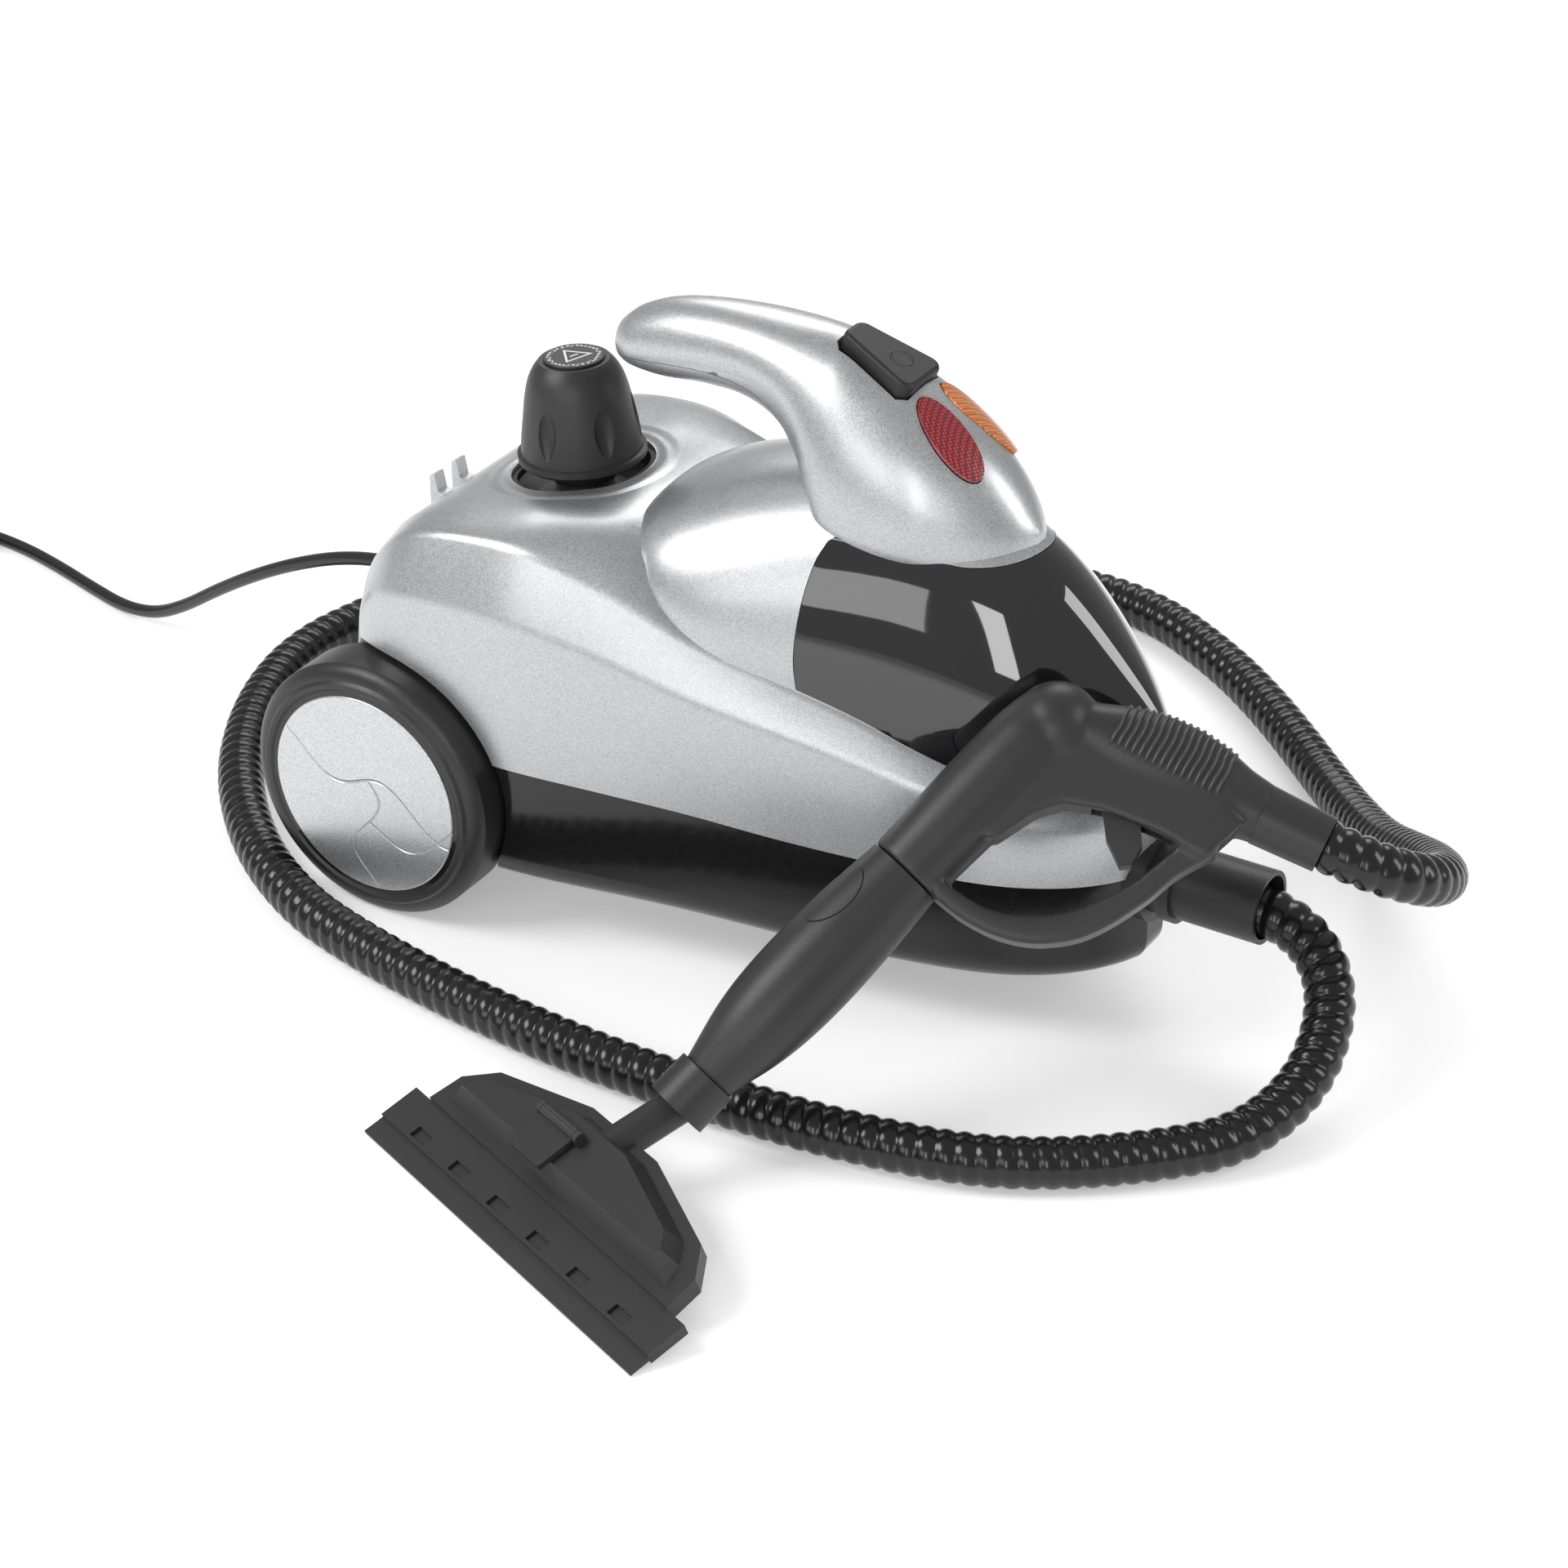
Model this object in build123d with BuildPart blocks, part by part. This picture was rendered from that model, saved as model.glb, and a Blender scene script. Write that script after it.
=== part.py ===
from build123d import *
from math import atan2, cos, pi, radians, sin, tan
import os

# Canister steam cleaner. Millimetres, +X to the nose, -Y to the side with the steam gun, +Z up.
# The origin lies on the floor under the middle of the rear axle.

os.makedirs("parts", exist_ok=True)

# ---- driving dimensions -------------------------------------------------------------------------
WALL = 2.5                # moulded plastic walls
SEAM = 0.3                # gap between mating covers
SLIDE = 0.25              # clearance round keys and sliding caps
RUN = 0.05                # radial clearance of running fits

BELT_HEIGHT = 100.1       # seam between silver shell and black base, above the axle
BELT_SLOPE = 0.035        # the seam falls towards the nose
BASE_REVEAL = 1.5         # the base stands in from the shell
BASE_BOTTOM = 30.0
BASE_EDGE_RADIUS = 16.0

TYRE_RADIUS = 70.0
TYRE_WIDTH = 33.0
TYRE_INNER_Y = 95.0
TYRE_BORE = 57.0
TYRE_SHOULDER = 7.0
ARCH_GAP = 2.5            # tyre to wheel arch
CAP_DISC_RADIUS = 54.5
CAP_DISC_THICK = 2.5
HUB_BOSS_RADIUS = 14.0
HUB_WEB = 4.0
HUB_RIM = 3.0
AXLE_RADIUS = 5.0
CLIP_RADIUS = 9.5
CLIP_THICK = 1.5
CLIP_DEPTH = 6.5          # clip to the inside of the cap disc

CASTER_X = 285.0
CASTER_WHEEL_RADIUS = 17.0
CASTER_WHEEL_WIDTH = 14.0
CASTER_TRAIL = 12.0
CASTER_POCKET_RADIUS = 36.0
CASTER_POCKET_HEIGHT = 14.0
CASTER_STEM_RADIUS = 5.0
CASTER_STEM_LENGTH = 24.0
CASTER_PIN_RADIUS = 2.5
FORK_PLATE = 3.0

FILLER_X = 52.0           # filler hole centre, on the deck
FILLER_Z = 211.0
FILLER_TILT = 4.0         # degrees, the cap leans to the rear
FILLER_HOLE_RADIUS = 36.5
CUP_DEPTH = 14.0
CUP_FLOOR_RADIUS = 24.0
NECK_RADIUS = 15.0
NECK_BORE = 12.0
NECK_TOP = -2.0           # from the hole centre, along the cap's axis
PLUG_RADIUS = 11.0
PLUG_LENGTH = 20.0
PLUG_FLANGE_RADIUS = 19.0
SEAL_THICK = 3.0
KNOB_RADIUS = 32.6        # over the rim at the foot of the knob
KNOB_TOP = 61.0
KNOB_BOTTOM = 8.0
KNOB_ROOM = 33.0          # height of the hollow inside the knob
KNOB_TOP_RADIUS = 15.5
KNOB_ROOM_RADIUS = 19.5
KNOB_GRIPS = 6
DIMPLE_HEIGHT = 33.0      # middle of the finger dimples
DIMPLE_LENGTH = 36.0
DIMPLE_DEPTH = 6.5

BOILER_X = 85.0
BOILER_RADIUS = 64.0
BOILER_BOTTOM = 52.0
BOILER_TOP = 150.0
BOILER_WALL = 2.0
BOILER_FLANGE = 5.0
BOILER_FLANGE_THICK = 3.0
VALVE_X = 196.0

HANDLE_WALL = 2.5
HEAD_REAR = (208.0, 323.5)  # x and height of the head's top behind the button, and in front of it
HEAD_FRONT = (245.0, 308.5)
BUTTON_X = 227.5
BUTTON_LIFT = 0.9
BUTTON_OUTLINE = [(-23.0, -8.5), (22.0, -17.5), (22.0, 17.5), (-23.0, 8.5)]
BUTTON_CORNER = 6.0
BUTTON_SKIN = 2.5
BUTTON_PROUD = 3.0
BUTTON_DEPTH = 9.0
BUTTON_ROOM = 2.5         # space under the button for its travel
SWITCH_HEIGHT = 14.0
SWITCH_BRACKET = 40.0     # length of the switch's leg, down to the shell

LAMP_LENGTH = 48.0
LAMP_WIDTH = 19.5
LAMP_X = 269.0
LAMP_Y = 13.5
LAMP_Z = 289.0

SOCKET_X = 344.0          # hose socket in the nose
SOCKET_Z = 80.0
SOCKET_RADIUS = 24.0
SOCKET_END_X = 384.0
HOSE_PLUG_X = 362.0
HOSE_PLUG_END_X = 441.0
HOSE_PLUG_RADIUS = 18.5

HOSE_RADIUS = 12.5
CORD_RADIUS = 3.75
CORD_Y = 25.0             # cord entry in the rear wall
CORD_Z = 110.0
REAR_X = -46.0
GLAND_RADIUS = 7.0
GLAND_LENGTH = 28.0

# ---- steam gun, laid against the nose: u runs up the barrel, v across it, w towards the side ---------
GUN_ORIGIN = Vector(261.3, -228.5, 45.0)
GUN_ELBOW = Vector(351.9, -58.9, 186.0)
GUN_GRIP_END = Vector(465.8, -31.5, 155.0)
GUN_ALONG = (GUN_ELBOW - GUN_ORIGIN).normalized()
GUN_FACE = (GUN_GRIP_END - GUN_ORIGIN).cross(GUN_ALONG).normalized()
GUN = Plane(origin=GUN_ORIGIN, x_dir=GUN_ALONG, z_dir=GUN_FACE)
GUN_WALL = 2.5
GUARD_HALF_WIDTH = 13.0
WEB_HALF_WIDTH = 14.5
TRIGGER_HALF_WIDTH = 8.5
TRIGGER_PIN_LENGTH = 25.0
TRIGGER_PIVOT = (236.0, -45.0)
TRIGGER_PIN_RADIUS = 1.5
COLLAR_START = -12.0
TUBE_START = 9.0
TUBE_END = 139.2
SHELL_START = 139.2
SPIGOT_RADIUS = 10.0
SPIGOT_LENGTH = 15.0
INNER_TUBE_RADIUS = 4.0
CUFF_RADIUS = 14.5
CUFF_LENGTH = 32.0
RELEASE_U = 109.0
RELEASE_LENGTH = 34.0
RELEASE_WIDTH = 20.0

# ---- squeegee head, blade on the floor: x along the blade, y back to the neck --------------------------
BLADE_LENGTH = 222.0
BLADE_THICK = 2.0
HOLDER_DEPTH = 26.0
HEAD_HALF = 98.0
HEAD_TILT = 20.0
HEAD_TOP = 16.0           # top of the head above the blade's middle
HEAD_TURN = radians(-22.5)
HEAD_ORIGIN = Vector(218.5, -323.5, 3.5)
HEAD_X = Vector(cos(HEAD_TURN), sin(HEAD_TURN), 0)
HEAD_Y = Vector(-sin(HEAD_TURN) * cos(radians(HEAD_TILT)), cos(HEAD_TURN) * cos(radians(HEAD_TILT)),
                sin(radians(HEAD_TILT)))
HEAD = Plane(origin=HEAD_ORIGIN, x_dir=HEAD_X, z_dir=HEAD_X.cross(HEAD_Y))
LATCH_WIDTH = 26.0
LATCH_LENGTH = 23.0
LATCH_X = -17.0
LATCH_HINGE_Y = 54.0
LATCH_GAP = 0.6
LATCH_PIN_RADIUS = 1.5

# ---- outlines ---------------------------------------------------------------------------------------
# Hull stations: x, half width on the belt, then (half width, height) of the low edge of the shoulder,
# its crest and two points on the deck or dome, and the height on the middle plane.
HULL = [
    (REAR_X, 40, (38, 112), (34, 118), (24, 121), (12, 122), 122),
    (-39, 70, (67, 128), (60, 140), (42, 146), (21, 147), 147),
    (-27, 92, (88, 148), (77, 165), (54, 171), (27, 172), 172),
    (-9, 104, (100, 168), (86, 190), (60, 194), (30, 194), 194),
    (12, 109, (105, 177), (91, 206), (62, 207), (31, 206), 205),
    (45, 110, (107, 180), (92, 214), (64, 214), (32, 212), 211),
    (80, 107.5, (105, 178), (91, 214), (68, 219), (35, 219), 218),
    (125, 100, (97, 168), (84, 198), (68, 216), (42, 230), 235),
    (172, 92.5, (90, 156), (77, 181), (65, 210), (45, 239), 251),
    (216, 87.5, (84, 149), (71, 169), (62, 207), (45, 243), 262),
    (251, 82, (78, 142), (66, 160), (58, 199), (43, 238), 262),
    (296, 73, (69, 131), (58, 143), (51, 181), (37, 221), 250),
    (330, 62, (58, 122), (49, 133), (43, 164), (31, 199), 228),
    (356, 46, (43, 116), (37, 126), (33, 149), (25, 176), 202),
    (373, 28, (26, 113), (24, 122), (21, 139), (16, 160), 182),
    (383, 10, (9.5, 112), (9, 119), (8, 132), (6, 148), 163),
]
HULL_MIDDLE = (HULL[0][0] + HULL[-1][0]) / 2
HULL_LENGTH = HULL[-1][0] - HULL[0][0]

# Handle stations: x, height of the top, height of the underside, half width.
HANDLE = [
    (76.5, 297, 289, 4), (80, 302, 282, 11), (90, 310.5, 278, 16), (108, 318.5, 277, 19.5),
    (132, 323, 280, 21.5), (158, 324.5, 280, 24), (180, 325, 270, 28), (196, 325, 244, 33),
    (208, 323.5, 218, 38), (225, 317, 196, 43), (245, 308.5, 194, 45.5), (262, 298.5, 198, 44),
    (278, 287.5, 203, 39), (292, 275, 208, 32), (303, 261, 213, 22), (311, 247, 220, 10),
]
HANDLE_SEAM = [(72, 287), (90, 288.5), (120, 293), (150, 294), (175, 287), (193, 271), (204, 254), (208, 235)]

# Side of the filler knob: radius and height, from its top to the groove above the rim.
KNOB_SIDE = [(KNOB_TOP_RADIUS + 2.5, KNOB_TOP), (23.5, 53), (27, 40), (29.4, 26), (30.6, 15), (30.8, 13)]

# Cord hooks in side view, and the plate that joins them along the rear of the deck.
HOOK_OUTLINE = [(-8, 176), (-32, 178), (-32, 170), (-35, 170), (-35, 191), (-32, 192.5), (-30, 183), (-8, 182)]
HOOK_PLATE = [(-24, 172), (-13, 188), (-15, 192), (-27, 176)]
HOOK_Y = 9.5
HOOK_HALF_WIDTH = 4.0

# Visor outline in side view: its rear edge, the collar under the control head, and the shoulder line.
VISOR_REAR = [(221, 170), (219, 185), (220, 205), (225, 230), (233, 253)]
VISOR_TOP = [(233, 253), (262, 243.5), (290, 238.5), (306, 241), (322, 250)]
VISOR_LOW = [(400, 124), (356, 127.5), (330, 134), (296, 144), (251, 161), (221, 170)]

# Gun outlines in u, v: barrel radii, grip sections (u, v, half height, half width), trigger and guard.
TUBE_PROFILE = [(9, 13), (20, 15.8), (33, 19), (66, 22.6), (100, 22), (139.2, 19)]
BARREL_PROFILE = [(139.2, 19), (170, 20), (205, 20.6), (232, 18.6), (250, 11.5), (258.5, 1)]
ELBOW_CENTRE = (237.5, -3.5)
ELBOW_RADIUS = 20.8
GRIP_SECTIONS = [(242, -6, 18, 17), (252, -34, 22, 16.5), (262, -62, 22.5, 16), (269, -86, 18, 15.5),
                 (272, -100, 15, 14.5)]
GRIP_WAY = (0.3, -0.954)
WEB_OUTLINE = [(176, -14), (178, -21.5), (200, -26), (213, -33), (224, -50), (236, -80), (238, -97),
               (262, -98), (262, -60), (236, -6)]
GUARD_OUTER = [(139.2, -21), (144, -44), (154, -64), (175, -82), (204, -90.5), (224, -92.5), (240, -99)]
GUARD_INNER = [(240, -82), (224, -81.5), (205, -78.5), (178, -69), (161, -54), (150, -36), (147.5, -17)]
TRIGGER_OUTLINE = [(231, -40), (222, -47), (214, -57), (209, -70), (213, -73.5), (223, -71), (231, -62),
                   (241, -49), (240, -41)]
TRIGGER_ROOM = [(227, -35), (203, -58), (203, -79.5), (243, -79.5), (246, -60), (246, -36)]

# ---- routes of the hose and the mains cord -----------------------------------------------------------
HOSE_ROUTE = [
    (430, 0, 78), (448, 0, 78), (472, -5, 67), (486, -20, 48), (490, -52, 27), (476, -92, 14),
    (445, -124, 12.6), (412, -151, 12.6), (379, -169, 12.6), (342, -179, 12.6), (302, -186, 12.6),
    (260, -189.5, 12.6), (214, -191.2, 12.6), (167, -190.6, 12.6), (116, -186, 12.6), (72, -180, 12.6),
    (22, -170, 12.6), (-24, -156, 12.6), (-78, -123, 12.6), (-128, -73, 12.6), (-161, -20, 12.6),
    (-179, 28, 12.6), (-183, 67, 12.6), (-178, 96, 12.6), (-168, 135, 12.6), (-145, 180, 12.6),
    (-105, 225, 12.6), (-55, 265, 12.6), (0, 300, 12.6), (60, 330, 12.6), (130, 352, 12.6),
    (202, 352, 12.6), (265, 317, 12.6), (306, 286, 12.6), (343, 253, 12.6), (371, 225, 14),
    (405, 185, 24), (440, 140, 42), (472, 100, 66), (500, 60, 90), (519, 22, 110), (521, -9, 126),
    (503.1, -28.8, 137.8), (480.6, -33.1, 145.2),
]
CORD_ROUTE = [
    (-74, 25, 110), (-101, 28, 106), (-134, 31, 97), (-168, 34, 82), (-199, 37, 65), (-230, 42, 45),
    (-258, 47, 25), (-285, 52, 10), (-313, 57, 4.2), (-345, 66, 3.9), (-378, 76, 3.9), (-412, 84, 3.9),
    (-446, 86.5, 3.9), (-476, 84, 3.9),
]
COIL_X = -470.0
COIL_Y = 30.0
COIL_TURN_RADIUS = 45.0   # to the middle of the turns
COIL_HALF_WIDTH = 15.0
COIL_HEIGHT = 26.0


def belt(x):
    """Height of the seam between shell and base at x."""
    return BELT_HEIGHT - BELT_SLOPE * x


def drawn_in(x, inset):
    """A station's x when the hull is drawn in by inset."""
    return HULL_MIDDLE + (x - HULL_MIDDLE) * (HULL_LENGTH - 2 * inset) / HULL_LENGTH


def hull_solid(inset, below):
    """The hull above the belt, drawn in by inset and carried on below the belt."""
    with BuildPart() as solid:
        for x, half, low, crest, dome_a, dome_b, top in HULL:
            side = [(half - inset, belt(x) - below), (low[0] - inset, low[1] - inset / 2)]
            side += [(y - inset * 0.8, z - inset * 0.8) for y, z in (crest, dome_a)]
            side += [(dome_b[0] - inset * 0.3, dome_b[1] - inset), (0, top - inset)]
            station = Plane(origin=(drawn_in(x, inset), 0, 0), x_dir=(0, 1, 0), z_dir=(1, 0, 0))
            with BuildSketch(station):
                with BuildLine():
                    Spline(*side, *[(-y, z) for y, z in reversed(side[:-1])])
                    Line((-side[0][0], side[0][1]), side[0])
                make_face()
        loft()
    return solid.part


def base_solid(inset, bottom, radius):
    """The base below the belt, drawn in by inset, with a rounded bottom edge."""
    near = [(drawn_in(row[0], inset), inset - row[1]) for row in HULL]
    far = [(x, -y) for x, y in reversed(near)]
    with BuildPart() as solid:
        with BuildSketch(Plane.XY.offset(bottom)):
            with BuildLine():
                Spline(*near)
                Line(near[-1], far[0])
                Spline(*far)
                Line(far[-1], near[0])
            make_face()
        extrude(amount=BELT_HEIGHT + 10 - bottom)
        fillet(solid.faces().sort_by(Axis.Z)[0].edges(), radius)
        with BuildSketch(Plane.XZ):
            with BuildLine():
                Polyline((-90, belt(-90)), (420, belt(420)), (420, 200), (-90, 200), close=True)
            make_face()
        extrude(amount=150, both=True, mode=Mode.SUBTRACT)
    return solid.part


def handle_solid(inset):
    """The grab handle and control head, drawn in by inset; the small end stations stay solid."""
    with BuildPart() as solid:
        for x, top, bottom, half in HANDLE:
            if half > 3.5 + 4 * inset:
                with BuildSketch(Plane(origin=(x, 0, (top + bottom) / 2), x_dir=(0, 1, 0), z_dir=(1, 0, 0))):
                    Ellipse(half - inset, (top - bottom) / 2 - inset)
        loft()
    return solid.part


def side_prism(curves, half_width, plane=Plane.XZ):
    """A prism across the object from curves that close on each other; two points make a line."""
    with BuildPart() as prism:
        with BuildSketch(plane):
            with BuildLine():
                for curve in curves:
                    if len(curve) > 2:
                        Spline(*curve)
                    else:
                        Line(*curve)
            make_face()
        extrude(amount=half_width, both=True)
    return prism.part


def block(outline, half_width, plane=Plane.XZ):
    """A prism with a straight-sided outline."""
    with BuildPart() as prism:
        with BuildSketch(plane):
            with BuildLine():
                Polyline(*outline, close=True)
            make_face()
        extrude(amount=half_width, both=True)
    return prism.part


def across(radius, y_from, y_to, x=0.0, z=TYRE_RADIUS):
    """A cylinder along Y."""
    with BuildPart() as rod:
        with BuildSketch(Plane(origin=(x, y_from, z), x_dir=(1, 0, 0), z_dir=(0, 1, 0))):
            Circle(radius)
        extrude(amount=y_to - y_from)
    return rod.part


def turned(profile, inset=0.0):
    """A body of revolution about the gun's barrel from (u, radius) points, drawn in by inset."""
    points = [(u, r - inset) for u, r in profile if r > inset + 1]
    with BuildPart() as solid:
        with BuildSketch(GUN):
            with BuildLine():
                Spline(*points)
                Polyline(points[-1], (points[-1][0], 0), (points[0][0], 0), points[0])
            make_face()
        revolve(axis=Axis(GUN.origin, GUN.x_dir))
    return solid.part


def grip_solid(inset):
    """The gun's grip, drawn in by inset."""
    with BuildPart() as solid:
        for u, v, half_height, half_width in GRIP_SECTIONS:
            centre = GUN.origin + GUN.x_dir * u + GUN.y_dir * v
            way = GUN.x_dir * GRIP_WAY[0] + GUN.y_dir * GRIP_WAY[1]
            with BuildSketch(Plane(origin=centre, x_dir=GUN.z_dir, z_dir=way)):
                Ellipse(half_width - inset, half_height - inset)
        loft()
    return solid.part


def bend_radii(route, share=0.45):
    """Corner radii of a route whose straight runs are joined by tangent arcs."""
    points = [Vector(*p) for p in route]
    radii = []
    for before, here, after in zip(points, points[1:], points[2:]):
        turn = radians((here - before).get_angle(after - here))
        radii.append(share * min((here - before).length, (after - here).length) / tan(turn / 2))
    return radii


def button_face(plane, gap):
    """The power button's outline on a plane, widened by gap."""
    with BuildSketch(plane) as face:
        with BuildLine():
            Polyline(*BUTTON_OUTLINE, close=True)
        make_face()
        fillet(face.vertices(), BUTTON_CORNER)
        offset(amount=gap)
    return face.sketch


def finish(builder, label):
    """Name a finished piece and write it."""
    builder.part.label = label
    export_step(builder.part, f"parts/{label}.step")


# ---- shared solids -----------------------------------------------------------------------------------
arch_radius = TYRE_RADIUS + ARCH_GAP
well_y = TYRE_INNER_Y - ARCH_GAP
hull_outer = hull_solid(0, 0)
hull_inner = hull_solid(WALL, 2)
base_outer = base_solid(BASE_REVEAL, BASE_BOTTOM, BASE_EDGE_RADIUS)
base_inner = base_solid(BASE_REVEAL + WALL, BASE_BOTTOM + WALL, BASE_EDGE_RADIUS - WALL)
handle_outer = handle_solid(0)
handle_inner = handle_solid(HANDLE_WALL)
visor_corner = (400, 250)
visor_region = side_prism([VISOR_REAR, VISOR_TOP, [VISOR_TOP[-1], visor_corner],
                           [visor_corner, VISOR_LOW[0]], VISOR_LOW], 120)
seam_region = side_prism([HANDLE_SEAM, [HANDLE_SEAM[-1], (208, 150)], [(208, 150), (60, 150)],
                          [(60, 150), HANDLE_SEAM[0]]], 60)

tilt = radians(FILLER_TILT)
CAP = Plane(origin=(FILLER_X, 0, FILLER_Z), x_dir=(cos(tilt), 0, sin(tilt)), z_dir=(-sin(tilt), 0, cos(tilt)))
cap_axis = Axis(CAP.origin, CAP.z_dir)
cap_section = Plane(origin=CAP.origin, x_dir=CAP.x_dir, z_dir=-CAP.y_dir)

# The control head's top slopes to the front where the button sits.
head_slope = atan2(HEAD_FRONT[1] - HEAD_REAR[1], HEAD_FRONT[0] - HEAD_REAR[0])
button_z = HEAD_REAR[1] + (BUTTON_X - HEAD_REAR[0]) * tan(head_slope) + BUTTON_LIFT
BUTTON = Plane(origin=(BUTTON_X, 0, button_z), x_dir=(cos(head_slope), 0, sin(head_slope)),
               z_dir=(-sin(head_slope), 0, cos(head_slope)))

# The lamps lean forward and outward on the head.
LAMPS = {}
for lamp_name, way in (("red_lamp_lens", -1), ("amber_lamp_lens", 1)):
    lamp_normal = Vector(0.6, 0.42 * way, 0.68).normalized()
    lamp_length_way = Vector(0.72, 0.14 * way, -0.68)
    lamp_length_way = lamp_length_way - lamp_normal * lamp_length_way.dot(lamp_normal)
    LAMPS[lamp_name] = Plane(origin=(LAMP_X, LAMP_Y * way, LAMP_Z), x_dir=lamp_length_way, z_dir=lamp_normal)

SOCKET = Plane(origin=(SOCKET_X, 0, SOCKET_Z), x_dir=(0, 1, 0), z_dir=(1, 0, 0))
CORD_ENTRY = Plane(origin=(REAR_X, CORD_Y, CORD_Z), x_dir=(0, 1, 0), z_dir=(-1, 0, 0))

# ---- body shells ---------------------------------------------------------------------------------------
with BuildPart() as shell_core:
    add(hull_inner)
    add(across(arch_radius + WALL, well_y - WALL, 140), mode=Mode.SUBTRACT)
    add(across(arch_radius + WALL, -140, WALL - well_y), mode=Mode.SUBTRACT)

with BuildPart() as upper_shell:
    add(hull_outer)
    add(across(arch_radius, well_y, 140), mode=Mode.SUBTRACT)
    add(across(arch_radius, -140, -well_y), mode=Mode.SUBTRACT)
    add(shell_core.part, mode=Mode.SUBTRACT)
    add(visor_region, mode=Mode.SUBTRACT)
    with BuildSketch(CAP.offset(-40)):
        Circle(FILLER_HOLE_RADIUS + SEAM)
    extrude(amount=80, mode=Mode.SUBTRACT)
    with BuildSketch(SOCKET.offset(-10)):
        Circle(SOCKET_RADIUS + SEAM)
    extrude(amount=80, mode=Mode.SUBTRACT)
    with BuildSketch(CORD_ENTRY.offset(-20)):
        Circle(GLAND_RADIUS)
    extrude(amount=40, mode=Mode.SUBTRACT)
    with BuildSketch(Plane.XY.offset(230)):
        with Locations((235, 0)):
            Circle(14)
    extrude(amount=60, mode=Mode.SUBTRACT)
finish(upper_shell, "upper_shell")

with BuildPart() as front_visor:
    add(hull_outer)
    add(hull_inner, mode=Mode.SUBTRACT)
    add(visor_region, mode=Mode.INTERSECT)
    add(visor_region.moved(Location((SEAM, 0, -SEAM))), mode=Mode.INTERSECT)
finish(front_visor, "front_visor")

with BuildPart() as base_core:
    add(base_inner)
    add(across(arch_radius + WALL, well_y - WALL, 140), mode=Mode.SUBTRACT)
    add(across(arch_radius + WALL, -140, WALL - well_y), mode=Mode.SUBTRACT)
    with BuildSketch(Plane.XY.offset(BASE_BOTTOM)):
        with Locations((CASTER_X, 0)):
            Circle(CASTER_POCKET_RADIUS + WALL)
    extrude(amount=CASTER_POCKET_HEIGHT + WALL, mode=Mode.SUBTRACT)
    with BuildSketch(Plane.XY.offset(BASE_BOTTOM)):
        with Locations((CASTER_X, 0)):
            Circle(CASTER_STEM_RADIUS + 5)
    extrude(amount=CASTER_POCKET_HEIGHT + CASTER_STEM_LENGTH, mode=Mode.SUBTRACT)
    with BuildSketch(Plane.XY.offset(BASE_BOTTOM)):
        with Locations((BOILER_X - 38, 0), (BOILER_X + 38, 0)):
            Rectangle(8, 60)
    extrude(amount=BOILER_BOTTOM - BASE_BOTTOM, mode=Mode.SUBTRACT)

with BuildPart() as base_pan:
    add(base_outer)
    add(across(arch_radius, well_y, 140), mode=Mode.SUBTRACT)
    add(across(arch_radius, -140, -well_y), mode=Mode.SUBTRACT)
    with BuildSketch(Plane.XY.offset(BASE_BOTTOM)):
        with Locations((CASTER_X, 0)):
            Circle(CASTER_POCKET_RADIUS)
    extrude(amount=CASTER_POCKET_HEIGHT, mode=Mode.SUBTRACT)
    add(base_core.part, mode=Mode.SUBTRACT)
    add(across(AXLE_RADIUS, -140, 140), mode=Mode.SUBTRACT)
    with BuildSketch(Plane.XY.offset(BASE_BOTTOM)):
        with Locations((CASTER_X, 0)):
            Circle(CASTER_STEM_RADIUS + RUN)
    extrude(amount=60, mode=Mode.SUBTRACT)
    with BuildSketch(SOCKET.offset(-10)):
        Circle(SOCKET_RADIUS)
    extrude(amount=80, mode=Mode.SUBTRACT)
    with BuildSketch(Plane.XY.offset(BASE_BOTTOM - 1)):
        with Locations((60, -60), (60, 60), (230, -50), (230, 50)):
            Circle(4)
    extrude(amount=20, mode=Mode.SUBTRACT)
finish(base_pan, "base_pan")

with BuildPart() as shell_screws:
    with BuildSketch(Plane.XY.offset(BASE_BOTTOM)):
        with Locations((60, -60), (60, 60), (230, -50), (230, 50)):
            Circle(4)
    extrude(amount=WALL)
    with BuildSketch(Plane.XY.offset(BASE_BOTTOM + WALL)):
        with Locations((60, -60), (60, 60), (230, -50), (230, 50)):
            Circle(2)
    extrude(amount=10)
finish(shell_screws, "shell_screws")

# ---- handle and control head ------------------------------------------------------------------------------
with BuildPart() as handle_upper_shell:
    add(handle_outer)
    add(handle_inner, mode=Mode.SUBTRACT)
    add(hull_outer, mode=Mode.SUBTRACT)
    add(seam_region, mode=Mode.SUBTRACT)
    extrude(button_face(BUTTON.offset(-20), SLIDE), amount=40, mode=Mode.SUBTRACT)
    for lamp_plane in LAMPS.values():
        with BuildSketch(lamp_plane.offset(-12)):
            Ellipse(LAMP_LENGTH / 2, LAMP_WIDTH / 2)
        extrude(amount=24, mode=Mode.SUBTRACT)
finish(handle_upper_shell, "handle_upper_shell")

with BuildPart() as handle_lower_shell:
    add(handle_outer)
    add(handle_inner, mode=Mode.SUBTRACT)
    add(hull_outer, mode=Mode.SUBTRACT)
    add(seam_region.moved(Location((-SEAM, 0, -SEAM))), mode=Mode.INTERSECT)
finish(handle_lower_shell, "handle_lower_shell")

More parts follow.
